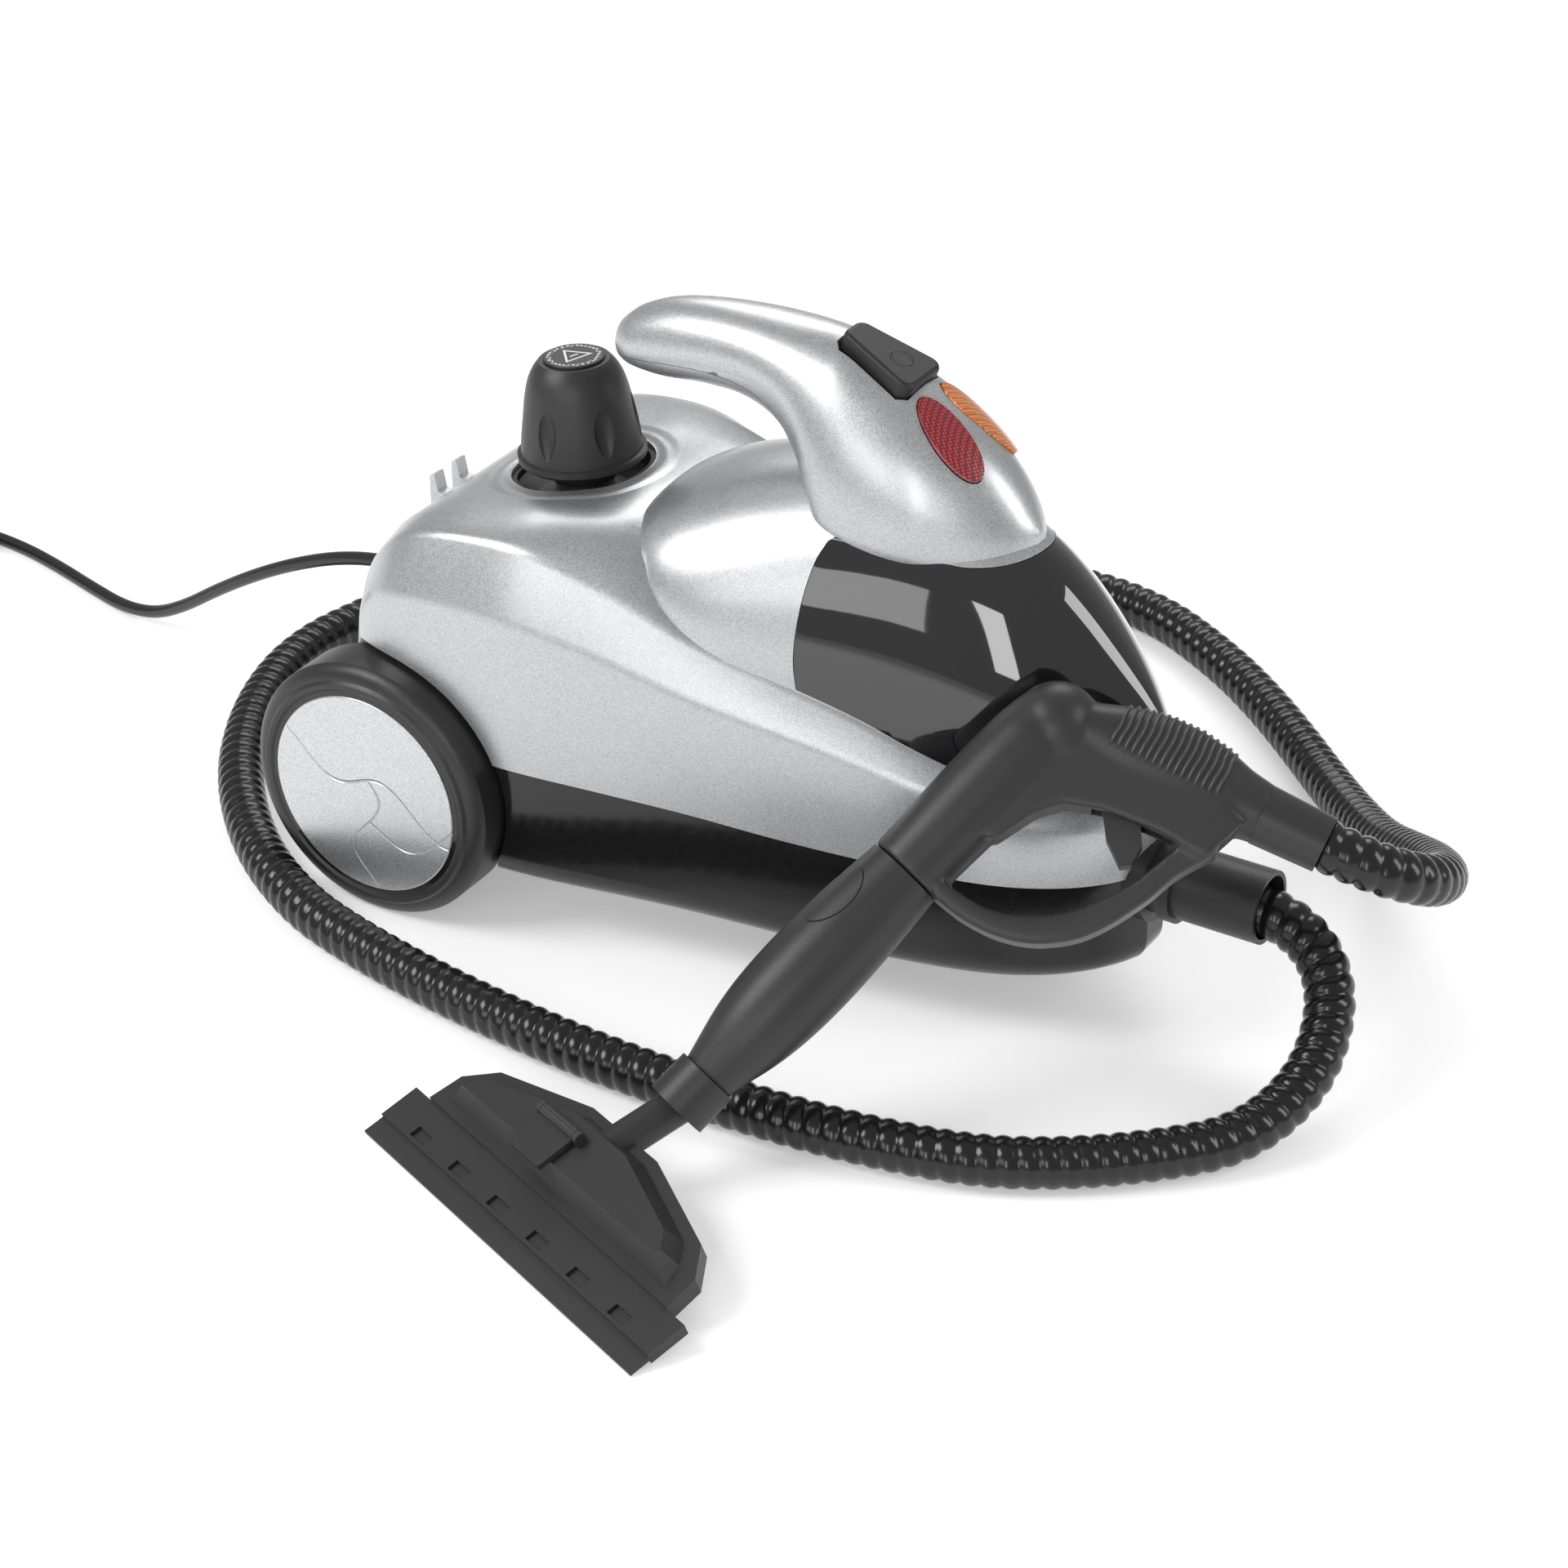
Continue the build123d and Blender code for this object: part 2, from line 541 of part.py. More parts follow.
button_bed = BUTTON.offset(BUTTON_PROUD - BUTTON_DEPTH)
with BuildPart() as power_button:
    extrude(button_face(button_bed, 0.01), amount=BUTTON_DEPTH)
    fillet(power_button.faces().sort_by(Axis(BUTTON.origin, BUTTON.z_dir))[-1].edges(), 2.5)
    extrude(button_face(button_bed, -BUTTON_SKIN), amount=BUTTON_DEPTH - BUTTON_SKIN - 0.5, mode=Mode.SUBTRACT)
    with BuildSketch(button_bed):
        Circle(BUTTON_SKIN + 0.5)
    extrude(amount=BUTTON_DEPTH - 2)
finish(power_button, "power_button")

with BuildPart() as power_switch:
    with BuildSketch(button_bed.offset(-BUTTON_ROOM - SWITCH_HEIGHT)):
        Rectangle(22, SWITCH_HEIGHT)
    extrude(amount=SWITCH_HEIGHT)
    with BuildSketch(button_bed.offset(-BUTTON_ROOM - SWITCH_HEIGHT)):
        Rectangle(36, 6)
    extrude(amount=-SWITCH_BRACKET)
    add(hull_outer, mode=Mode.SUBTRACT)
finish(power_switch, "power_switch")

lens_outer = handle_solid(-0.8)
for lamp_name, lamp_plane in LAMPS.items():
    with BuildPart() as lamp_lens:
        with BuildSketch(lamp_plane.offset(-9)):
            Ellipse(LAMP_LENGTH / 2, LAMP_WIDTH / 2)
        extrude(amount=20)
        add(lens_outer, mode=Mode.INTERSECT)
        add(handle_inner, mode=Mode.SUBTRACT)
    finish(lamp_lens, lamp_name)

# ---- filler: cup, cap and seal ---------------------------------------------------------------------------
with BuildPart() as filler_recess_cup:
    with BuildSketch(cap_section):
        with BuildLine():
            Polyline((FILLER_HOLE_RADIUS, 16), (FILLER_HOLE_RADIUS, -8), (CUP_FLOOR_RADIUS + WALL, -CUP_DEPTH),
                     (NECK_RADIUS, -CUP_DEPTH), (NECK_RADIUS, WALL - CUP_DEPTH),
                     (CUP_FLOOR_RADIUS, WALL - CUP_DEPTH), (FILLER_HOLE_RADIUS - WALL, -6),
                     (FILLER_HOLE_RADIUS - WALL, 16), close=True)
        make_face()
    revolve(axis=cap_axis)
    add(hull_solid(0.6, 2), mode=Mode.INTERSECT)
finish(filler_recess_cup, "filler_recess_cup")

with BuildPart() as filler_cap_knob:
    with BuildSketch(cap_section):
        with BuildLine():
            Polyline((0, KNOB_ROOM), (0, KNOB_TOP), KNOB_SIDE[0])
            Spline(*KNOB_SIDE)
            Polyline(KNOB_SIDE[-1], (KNOB_RADIUS, KNOB_BOTTOM + 4.5), (KNOB_RADIUS, KNOB_BOTTOM + 1.5),
                     (KNOB_RADIUS - 1.5, KNOB_BOTTOM), (KNOB_RADIUS - 5, KNOB_BOTTOM),
                     (KNOB_ROOM_RADIUS, KNOB_BOTTOM + 8), (KNOB_ROOM_RADIUS, KNOB_ROOM), (0, KNOB_ROOM))
        make_face()
    revolve(axis=cap_axis)
    for grip in range(KNOB_GRIPS):
        grip_angle = 2 * pi * (grip + 0.5) / KNOB_GRIPS
        grip_way = CAP.x_dir * cos(grip_angle) + CAP.y_dir * sin(grip_angle)
        grip_origin = CAP.origin + CAP.z_dir * DIMPLE_HEIGHT + grip_way * (KNOB_RADIUS - 0.8)
        with BuildSketch(Plane(origin=grip_origin, x_dir=CAP.z_dir, z_dir=grip_way)):
            with BuildLine():
                ThreePointArc((-DIMPLE_LENGTH / 2, 0), (0, DIMPLE_DEPTH), (DIMPLE_LENGTH / 2, 0))
                Line((DIMPLE_LENGTH / 2, 0), (-DIMPLE_LENGTH / 2, 0))
            make_face()
        revolve(axis=Axis(grip_origin, CAP.z_dir), mode=Mode.SUBTRACT)
finish(filler_cap_knob, "filler_cap_knob")

with BuildPart() as cap_top_disc:
    with BuildSketch(CAP.offset(KNOB_TOP)):
        Circle(KNOB_TOP_RADIUS)
    extrude(amount=1.5)
    fillet(cap_top_disc.faces().sort_by(cap_axis)[-1].edges(), 0.6)
finish(cap_top_disc, "cap_top_disc")

seal_top = NECK_TOP + SEAL_THICK
with BuildPart() as cap_plug:
    with BuildSketch(CAP.offset(seal_top)):
        Circle(PLUG_FLANGE_RADIUS)
    extrude(amount=4)
    with BuildSketch(CAP.offset(seal_top + 4)):
        Circle(PLUG_RADIUS - 2)
    extrude(amount=KNOB_ROOM - seal_top - 4)
    with BuildSketch(CAP.offset(seal_top)):
        Circle(PLUG_RADIUS - 1)
    extrude(amount=-PLUG_LENGTH - SEAL_THICK)
    for thread in range(4):
        with BuildSketch(CAP.offset(NECK_TOP - 4 - 4 * thread)):
            Circle(PLUG_RADIUS)
        extrude(amount=-2)
finish(cap_plug, "cap_plug")

with BuildPart() as cap_seal:
    with BuildSketch(CAP.offset(NECK_TOP)):
        Circle(NECK_RADIUS + 1.5)
        Circle(PLUG_RADIUS + 0.2, mode=Mode.SUBTRACT)
    extrude(amount=SEAL_THICK)
finish(cap_seal, "cap_seal")

# ---- boiler -----------------------------------------------------------------------------------------------
boiler_middle = (BOILER_BOTTOM + BOILER_TOP) / 2
neck_length = (FILLER_Z + NECK_TOP - BOILER_TOP) / cos(tilt) + 8
BOILER = Plane(origin=(BOILER_X, 0, boiler_middle))
with BuildPart() as boiler_upper_half:
    with BuildSketch(BOILER):
        Circle(BOILER_RADIUS)
    extrude(amount=BOILER_TOP - boiler_middle)
    fillet(boiler_upper_half.faces().sort_by(Axis.Z)[-1].edges(), 22)
    with BuildSketch(CAP.offset(NECK_TOP)):
        Circle(NECK_RADIUS)
    extrude(amount=-neck_length)
    with BuildSketch(BOILER):
        Circle(BOILER_RADIUS + BOILER_FLANGE)
    extrude(amount=BOILER_FLANGE_THICK)
    with BuildSketch(BOILER):
        Circle(BOILER_RADIUS - BOILER_WALL)
    extrude(amount=BOILER_TOP - BOILER_WALL - 12 - boiler_middle, mode=Mode.SUBTRACT)
    with BuildSketch(BOILER.offset(BOILER_TOP - BOILER_WALL - 12 - boiler_middle)):
        Circle(BOILER_RADIUS - 20)
    extrude(amount=12, mode=Mode.SUBTRACT)
    with BuildSketch(CAP.offset(NECK_TOP)):
        Circle(NECK_BORE)
    extrude(amount=-neck_length - 10, mode=Mode.SUBTRACT)
finish(boiler_upper_half, "boiler_upper_half")

with BuildPart() as boiler_lower_half:
    with BuildSketch(BOILER):
        Circle(BOILER_RADIUS)
    extrude(amount=BOILER_BOTTOM - boiler_middle)
    fillet(boiler_lower_half.faces().sort_by(Axis.Z)[0].edges(), 16)
    with BuildSketch(BOILER):
        Circle(BOILER_RADIUS + BOILER_FLANGE)
    extrude(amount=-BOILER_FLANGE_THICK)
    with BuildSketch(BOILER):
        Circle(BOILER_RADIUS - BOILER_WALL)
    extrude(amount=-(boiler_middle - BOILER_BOTTOM - BOILER_WALL - 8), mode=Mode.SUBTRACT)
    with BuildSketch(BOILER.offset(-(boiler_middle - BOILER_BOTTOM - BOILER_WALL - 8))):
        Circle(BOILER_RADIUS - 14)
    extrude(amount=-8, mode=Mode.SUBTRACT)
finish(boiler_lower_half, "boiler_lower_half")

with BuildPart() as flange_screws:
    with BuildSketch(BOILER.offset(BOILER_FLANGE_THICK)):
        with PolarLocations(BOILER_RADIUS + 2.6, 10, start_angle=18):
            RegularPolygon(2.2, 6)
    extrude(amount=2)
finish(flange_screws, "flange_screws")

with BuildPart() as heating_element:
    with BuildSketch(Plane.XZ):
        with Locations((BOILER_X + 38, BOILER_BOTTOM + BOILER_WALL + 12)):
            Circle(4)
    revolve(axis=Axis((BOILER_X, 0, 0), (0, 0, 1)), revolution_arc=330)
    with BuildSketch(Plane.XY.offset(BOILER_BOTTOM + BOILER_WALL)):
        with Locations((BOILER_X + 38, 0), (BOILER_X + 38 * cos(radians(330)), 38 * sin(radians(330)))):
            Circle(3.5)
    extrude(amount=12)
finish(heating_element, "heating_element")

BOILER_LID = Plane(origin=(BOILER_X + 22, 22, BOILER_TOP))
with BuildPart() as thermostat:
    with BuildSketch(BOILER_LID):
        Circle(8)
    extrude(amount=7)
    with BuildSketch(BOILER_LID.offset(7)):
        Rectangle(3, 12)
    extrude(amount=3)
finish(thermostat, "thermostat")

SWITCH_LID = Plane(origin=(BOILER_X + 22, -22, BOILER_TOP))
with BuildPart() as pressure_switch:
    with BuildSketch(SWITCH_LID):
        Circle(6)
    extrude(amount=8)
    with BuildSketch(SWITCH_LID.offset(8)):
        Circle(11)
    extrude(amount=12)
finish(pressure_switch, "pressure_switch")

VALVE = Plane(origin=(VALVE_X, 0, BASE_BOTTOM + WALL))
with BuildPart() as steam_valve:
    with BuildSketch(VALVE):
        Rectangle(30, 26)
    extrude(amount=34)
    with BuildSketch(VALVE.offset(34)):
        Circle(12)
    extrude(amount=26)
finish(steam_valve, "steam_valve")

pipe_z = BASE_BOTTOM + WALL + 17
boiler_front = BOILER_X + BOILER_RADIUS
boiler_bends = [(boiler_front, 0, pipe_z + 24), (boiler_front + 14, 0, pipe_z + 24),
                (boiler_front + 14, 0, pipe_z), (VALVE_X - 15, 0, pipe_z)]
front_bends = [(VALVE_X + 15, 0, pipe_z), (VALVE_X + 34, 0, pipe_z), (VALVE_X + 60, 0, SOCKET_Z),
               (SOCKET_X, 0, SOCKET_Z)]
for pipe_name, bends, bend_radius in (("boiler_pipe", boiler_bends, 6), ("steam_pipe", front_bends, 12)):
    with BuildPart() as pipe:
        with BuildLine():
            FilletPolyline(*bends, radius=bend_radius)
        with BuildSketch(Plane(origin=bends[0], z_dir=(1, 0, 0))):
            Circle(4)
            Circle(2.8, mode=Mode.SUBTRACT)
        sweep()
    finish(pipe, pipe_name)

with BuildPart() as hose_socket:
    with BuildSketch(SOCKET):
        Circle(SOCKET_RADIUS)
    extrude(amount=SOCKET_END_X - SOCKET_X)
    with BuildSketch(SOCKET.offset(HOSE_PLUG_X - SOCKET_X)):
        Circle(HOSE_PLUG_RADIUS + SLIDE)
    extrude(amount=60, mode=Mode.SUBTRACT)
    with BuildSketch(SOCKET):
        Circle(2.8)
    extrude(amount=60, mode=Mode.SUBTRACT)
finish(hose_socket, "hose_socket")

TERMINALS = Plane(origin=(-14, 36, BASE_BOTTOM + WALL))
with BuildPart() as terminal_block:
    with BuildSketch(TERMINALS):
        Rectangle(14, 34)
    extrude(amount=14)
    with BuildSketch(TERMINALS.offset(14)):
        with GridLocations(0, 10, 1, 3):
            Circle(2.5)
    extrude(amount=1)
finish(terminal_block, "terminal_block")

# ---- rear wheels ---------------------------------------------------------------------------------------------
hub_out = TYRE_INNER_Y + TYRE_WIDTH
cap_y = hub_out - CAP_DISC_THICK
clip_y = cap_y - CLIP_DEPTH
axle_end = clip_y + CLIP_THICK + 1.5
with BuildPart() as rear_axle:
    add(across(AXLE_RADIUS, -axle_end, axle_end))
finish(rear_axle, "rear_axle")

for side, way in (("left", -1), ("right", 1)):
    wheel_plane = Plane(origin=(0, way * TYRE_INNER_Y, TYRE_RADIUS), x_dir=(1, 0, 0), z_dir=(0, way, 0))
    section = Plane(origin=(0, 0, TYRE_RADIUS), x_dir=(0, way, 0), z_dir=(way, 0, 0))
    spin = Axis((0, 0, TYRE_RADIUS), (0, 1, 0))
    with BuildPart() as tyre:
        with BuildSketch(section):
            with BuildLine():
                Polyline((TYRE_INNER_Y, TYRE_BORE), (hub_out - 1, TYRE_BORE), (hub_out, TYRE_BORE + 1.5),
                         (hub_out, TYRE_BORE + 4), (hub_out - 1.5, TYRE_BORE + 5.5))
                Spline((hub_out - 1.5, TYRE_BORE + 5.5), (hub_out - 3.2, TYRE_RADIUS - 3),
                       (hub_out - TYRE_SHOULDER, TYRE_RADIUS))
                Polyline((hub_out - TYRE_SHOULDER, TYRE_RADIUS), (TYRE_INNER_Y + 2, TYRE_RADIUS),
                         (TYRE_INNER_Y, TYRE_RADIUS - 2), (TYRE_INNER_Y, TYRE_BORE))
            make_face()
        revolve(axis=spin)
    finish(tyre, f"tyre_{side}")
    with BuildPart() as wheel_hub:
        with BuildSketch(wheel_plane.offset(1)):
            Circle(TYRE_BORE)
            Circle(TYRE_BORE - HUB_RIM, mode=Mode.SUBTRACT)
        extrude(amount=TYRE_WIDTH - 2)
        with BuildSketch(wheel_plane.offset(cap_y - HUB_WEB - TYRE_INNER_Y)):
            Circle(TYRE_BORE - HUB_RIM / 2)
        extrude(amount=HUB_WEB)
        with BuildSketch(wheel_plane):
            Circle(HUB_BOSS_RADIUS)
        extrude(amount=cap_y - TYRE_INNER_Y)
        with BuildSketch(wheel_plane.offset(2)):
            with PolarLocations((TYRE_BORE + HUB_BOSS_RADIUS) / 2 - 1, 6):
                Rectangle(TYRE_BORE - HUB_BOSS_RADIUS, 2.5)
        extrude(amount=cap_y - TYRE_INNER_Y - 2)
        with BuildSketch(wheel_plane.offset(clip_y - 0.3 - TYRE_INNER_Y)):
            Circle(CLIP_RADIUS + 1)
        extrude(amount=TYRE_WIDTH, mode=Mode.SUBTRACT)
        with BuildSketch(wheel_plane.offset(cap_y - TYRE_INNER_Y)):
            Circle(CAP_DISC_RADIUS)
        extrude(amount=TYRE_WIDTH, mode=Mode.SUBTRACT)
        with BuildSketch(wheel_plane):
            Circle(AXLE_RADIUS + RUN)
        extrude(amount=TYRE_WIDTH, mode=Mode.SUBTRACT)
    finish(wheel_hub, f"wheel_hub_{side}")
    with BuildPart() as hub_cap:
        with BuildSketch(wheel_plane.offset(cap_y - TYRE_INNER_Y)):
            Circle(CAP_DISC_RADIUS)
        extrude(amount=CAP_DISC_THICK)
        fillet(hub_cap.faces().sort_by(Axis((0, 0, 0), (0, way, 0)))[-1].edges(), 1)
    finish(hub_cap, f"hub_cap_{side}")

with BuildPart() as axle_clips:
    add(across(CLIP_RADIUS, clip_y, clip_y + CLIP_THICK))
    add(across(CLIP_RADIUS, -clip_y - CLIP_THICK, -clip_y))
    add(across(AXLE_RADIUS, -axle_end, axle_end), mode=Mode.SUBTRACT)
finish(axle_clips, "axle_clips")

# ---- front caster -----------------------------------------------------------------------------------------------
fork_top = BASE_BOTTOM + CASTER_POCKET_HEIGHT - 0.5
fork_under = fork_top - FORK_PLATE
caster_x = CASTER_X - CASTER_TRAIL
fork_gap = CASTER_WHEEL_WIDTH + 1
with BuildPart() as caster_fork:
    with BuildSketch(Plane.XY.offset(fork_under)):
        with Locations((CASTER_X - CASTER_TRAIL / 2, 0)):
            SlotOverall(38, fork_gap + 6)
    extrude(amount=FORK_PLATE)
    with BuildSketch(Plane.XY.offset(fork_under)):
        with Locations((CASTER_X, 0)):
            Circle(CASTER_STEM_RADIUS)
    extrude(amount=CASTER_STEM_LENGTH)
    for way in (-1, 1):
        cheek_origin = (caster_x, way * fork_gap / 2, CASTER_WHEEL_RADIUS)
        with BuildSketch(Plane(origin=cheek_origin, x_dir=(1, 0, 0), z_dir=(0, way, 0))):
            Circle(7)
            with Locations((0, (fork_under - CASTER_WHEEL_RADIUS) / 2 * -way)):
                Rectangle(14, fork_under - CASTER_WHEEL_RADIUS)
        extrude(amount=3)
    add(across(CASTER_PIN_RADIUS, -20, 20, caster_x, CASTER_WHEEL_RADIUS), mode=Mode.SUBTRACT)
finish(caster_fork, "caster_fork")

with BuildPart() as caster_wheel:
    add(across(CASTER_WHEEL_RADIUS, -CASTER_WHEEL_WIDTH / 2, CASTER_WHEEL_WIDTH / 2, caster_x,
               CASTER_WHEEL_RADIUS))
    fillet(caster_wheel.edges().filter_by(GeomType.CIRCLE), 2)
    add(across(CASTER_PIN_RADIUS + RUN, -20, 20, caster_x, CASTER_WHEEL_RADIUS), mode=Mode.SUBTRACT)
finish(caster_wheel, "caster_wheel")

with BuildPart() as caster_pin:
    add(across(CASTER_PIN_RADIUS, -fork_gap / 2 - 3, fork_gap / 2 + 3, caster_x, CASTER_WHEEL_RADIUS))
finish(caster_pin, "caster_pin")

# ---- rear fittings --------------------------------------------------------------------------------------------------
with BuildPart() as cord_hooks:
    for hook_y in (-HOOK_Y, HOOK_Y):
        add(block(HOOK_OUTLINE, HOOK_HALF_WIDTH, Plane.XZ.offset(-hook_y)))
    add(block(HOOK_PLATE, HOOK_Y + 2 * HOOK_HALF_WIDTH))
    add(hull_outer, mode=Mode.SUBTRACT)
finish(cord_hooks, "cord_hooks")

with BuildPart() as cord_gland:
    with BuildSketch(CORD_ENTRY.offset(-10)):
        Circle(GLAND_RADIUS)
    extrude(amount=10)
    with BuildSketch(CORD_ENTRY):
        Circle(GLAND_RADIUS + 2)
    extrude(amount=3)
    with BuildSketch(CORD_ENTRY.offset(3)):
        Circle(GLAND_RADIUS)
    with BuildSketch(CORD_ENTRY.offset(GLAND_LENGTH)):
        Circle(CORD_RADIUS + 1.25)
    loft()
    with BuildSketch(CORD_ENTRY.offset(GLAND_LENGTH)):
        Circle(CORD_RADIUS)
    extrude(amount=-2 * GLAND_LENGTH, mode=Mode.SUBTRACT)
finish(cord_gland, "cord_gland")

# ---- steam gun ------------------------------------------------------------------------------------------------------
gun_axis = Axis(GUN.origin, GUN.x_dir)


def rod(radius, u_from, u_to):
    """A cylinder along the gun's barrel."""
    with BuildPart() as solid:
        with BuildSketch(Plane(origin=GUN.origin + GUN.x_dir * u_from, x_dir=GUN.y_dir, z_dir=GUN.x_dir)):
            Circle(radius)
        extrude(amount=u_to - u_from)
    return solid.part


elbow = GUN.origin + GUN.x_dir * ELBOW_CENTRE[0] + GUN.y_dir * ELBOW_CENTRE[1]
guard = side_prism([GUARD_OUTER, [GUARD_OUTER[-1], GUARD_INNER[0]], GUARD_INNER, [GUARD_INNER[-1], GUARD_OUTER[0]]],
                   GUARD_HALF_WIDTH, GUN)
with BuildPart() as gun_body:
    add(turned(BARREL_PROFILE))
    add(grip_solid(0))
    with Locations(elbow):
        Sphere(ELBOW_RADIUS)
    add(block(WEB_OUTLINE, WEB_HALF_WIDTH, GUN))
    add(guard)
    add(turned(BARREL_PROFILE, GUN_WALL), mode=Mode.SUBTRACT)
    add(grip_solid(GUN_WALL), mode=Mode.SUBTRACT)
    with Locations(elbow):
        Sphere(ELBOW_RADIUS - GUN_WALL, mode=Mode.SUBTRACT)
    add(block(TRIGGER_ROOM, TRIGGER_HALF_WIDTH + 0.4, GUN), mode=Mode.SUBTRACT)
    with BuildSketch(GUN.offset(-TRIGGER_PIN_LENGTH / 2)):
        with Locations(TRIGGER_PIVOT):
            Circle(TRIGGER_PIN_RADIUS)
    extrude(amount=TRIGGER_PIN_LENGTH, mode=Mode.SUBTRACT)

half_space = 200.0
gun_room = Plane(origin=GUN.origin + GUN.x_dir * 200 - GUN.y_dir * 50, x_dir=GUN.x_dir, z_dir=GUN.z_dir)
for shell_name, way in (("gun_shell_near", 1), ("gun_shell_far", -1)):
    with BuildPart() as gun_shell:
        with BuildSketch(gun_room):
            Rectangle(half_space, half_space)
        extrude(amount=60 * way)
        add(gun_body.part, mode=Mode.INTERSECT)
    finish(gun_shell, shell_name)

with BuildPart() as gun_trigger:
    add(block(TRIGGER_OUTLINE, TRIGGER_HALF_WIDTH, GUN))
    with BuildSketch(GUN.offset(-TRIGGER_HALF_WIDTH - 1)):
        with Locations(TRIGGER_PIVOT):
            Circle(TRIGGER_PIN_RADIUS + RUN)
    extrude(amount=2 * TRIGGER_HALF_WIDTH + 2, mode=Mode.SUBTRACT)
finish(gun_trigger, "gun_trigger")

with BuildPart() as trigger_pin:
    with BuildSketch(GUN.offset(-TRIGGER_PIN_LENGTH / 2)):
        with Locations(TRIGGER_PIVOT):
            Circle(TRIGGER_PIN_RADIUS)
    extrude(amount=TRIGGER_PIN_LENGTH)
finish(trigger_pin, "trigger_pin")

with BuildPart() as gun_microswitch:
    add(block([(252, -20), (262, -20), (262, -30), (252, -30)], 20, GUN))
    add(grip_solid(GUN_WALL), mode=Mode.INTERSECT)
finish(gun_microswitch, "gun_microswitch")

with BuildPart() as gun_steam_tube:
    add(rod(INNER_TUBE_RADIUS, TUBE_START + SPIGOT_LENGTH, 215))
    add(rod(INNER_TUBE_RADIUS - 1, TUBE_START, 220), mode=Mode.SUBTRACT)
finish(gun_steam_tube, "gun_steam_tube")

release_way = (GUN.y_dir * 0.69 + GUN.z_dir * 0.72).normalized()
RELEASE = Plane(origin=GUN.origin + GUN.x_dir * RELEASE_U, x_dir=GUN.x_dir, z_dir=release_way)
with BuildPart() as extension_tube:
    add(turned(TUBE_PROFILE))
    add(turned(TUBE_PROFILE, GUN_WALL), mode=Mode.SUBTRACT)
    add(rod(SPIGOT_RADIUS + RUN, 0, 40), mode=Mode.SUBTRACT)
    with BuildSketch(RELEASE):
        Ellipse(RELEASE_LENGTH / 2 + SLIDE, RELEASE_WIDTH / 2 + SLIDE)
    extrude(amount=30, mode=Mode.SUBTRACT)
finish(extension_tube, "extension_tube")

with BuildPart() as release_button:
    with BuildSketch(RELEASE.offset(12)):
        Ellipse(RELEASE_LENGTH / 2, RELEASE_WIDTH / 2)
    extrude(amount=20)
    add(turned(TUBE_PROFILE, -0.6), mode=Mode.INTERSECT)
finish(release_button, "release_button")

with BuildPart() as steam_hose:
    with BuildLine():
        FilletPolyline(*HOSE_ROUTE, radius=bend_radii(HOSE_ROUTE))
    with BuildSketch(Plane(origin=HOSE_ROUTE[0], z_dir=Vector(*HOSE_ROUTE[1]) - Vector(*HOSE_ROUTE[0]))):
        Circle(HOSE_RADIUS)
    sweep()
finish(steam_hose, "steam_hose")

with BuildPart() as gun_cuff:
    cuff_way = (GUN.x_dir * GRIP_WAY[0] + GUN.y_dir * GRIP_WAY[1]).normalized()
    last_u, last_v = GRIP_SECTIONS[-1][:2]
    cuff_origin = GUN.origin + GUN.x_dir * last_u + GUN.y_dir * last_v
    CUFF = Plane(origin=cuff_origin, x_dir=GUN.z_dir, z_dir=cuff_way)
    with BuildSketch(CUFF):
        Circle(CUFF_RADIUS)
    with BuildSketch(CUFF.offset(CUFF_LENGTH)):
        Circle(HOSE_RADIUS + 1)
    loft()
    add(steam_hose.part, mode=Mode.SUBTRACT)
finish(gun_cuff, "gun_cuff")

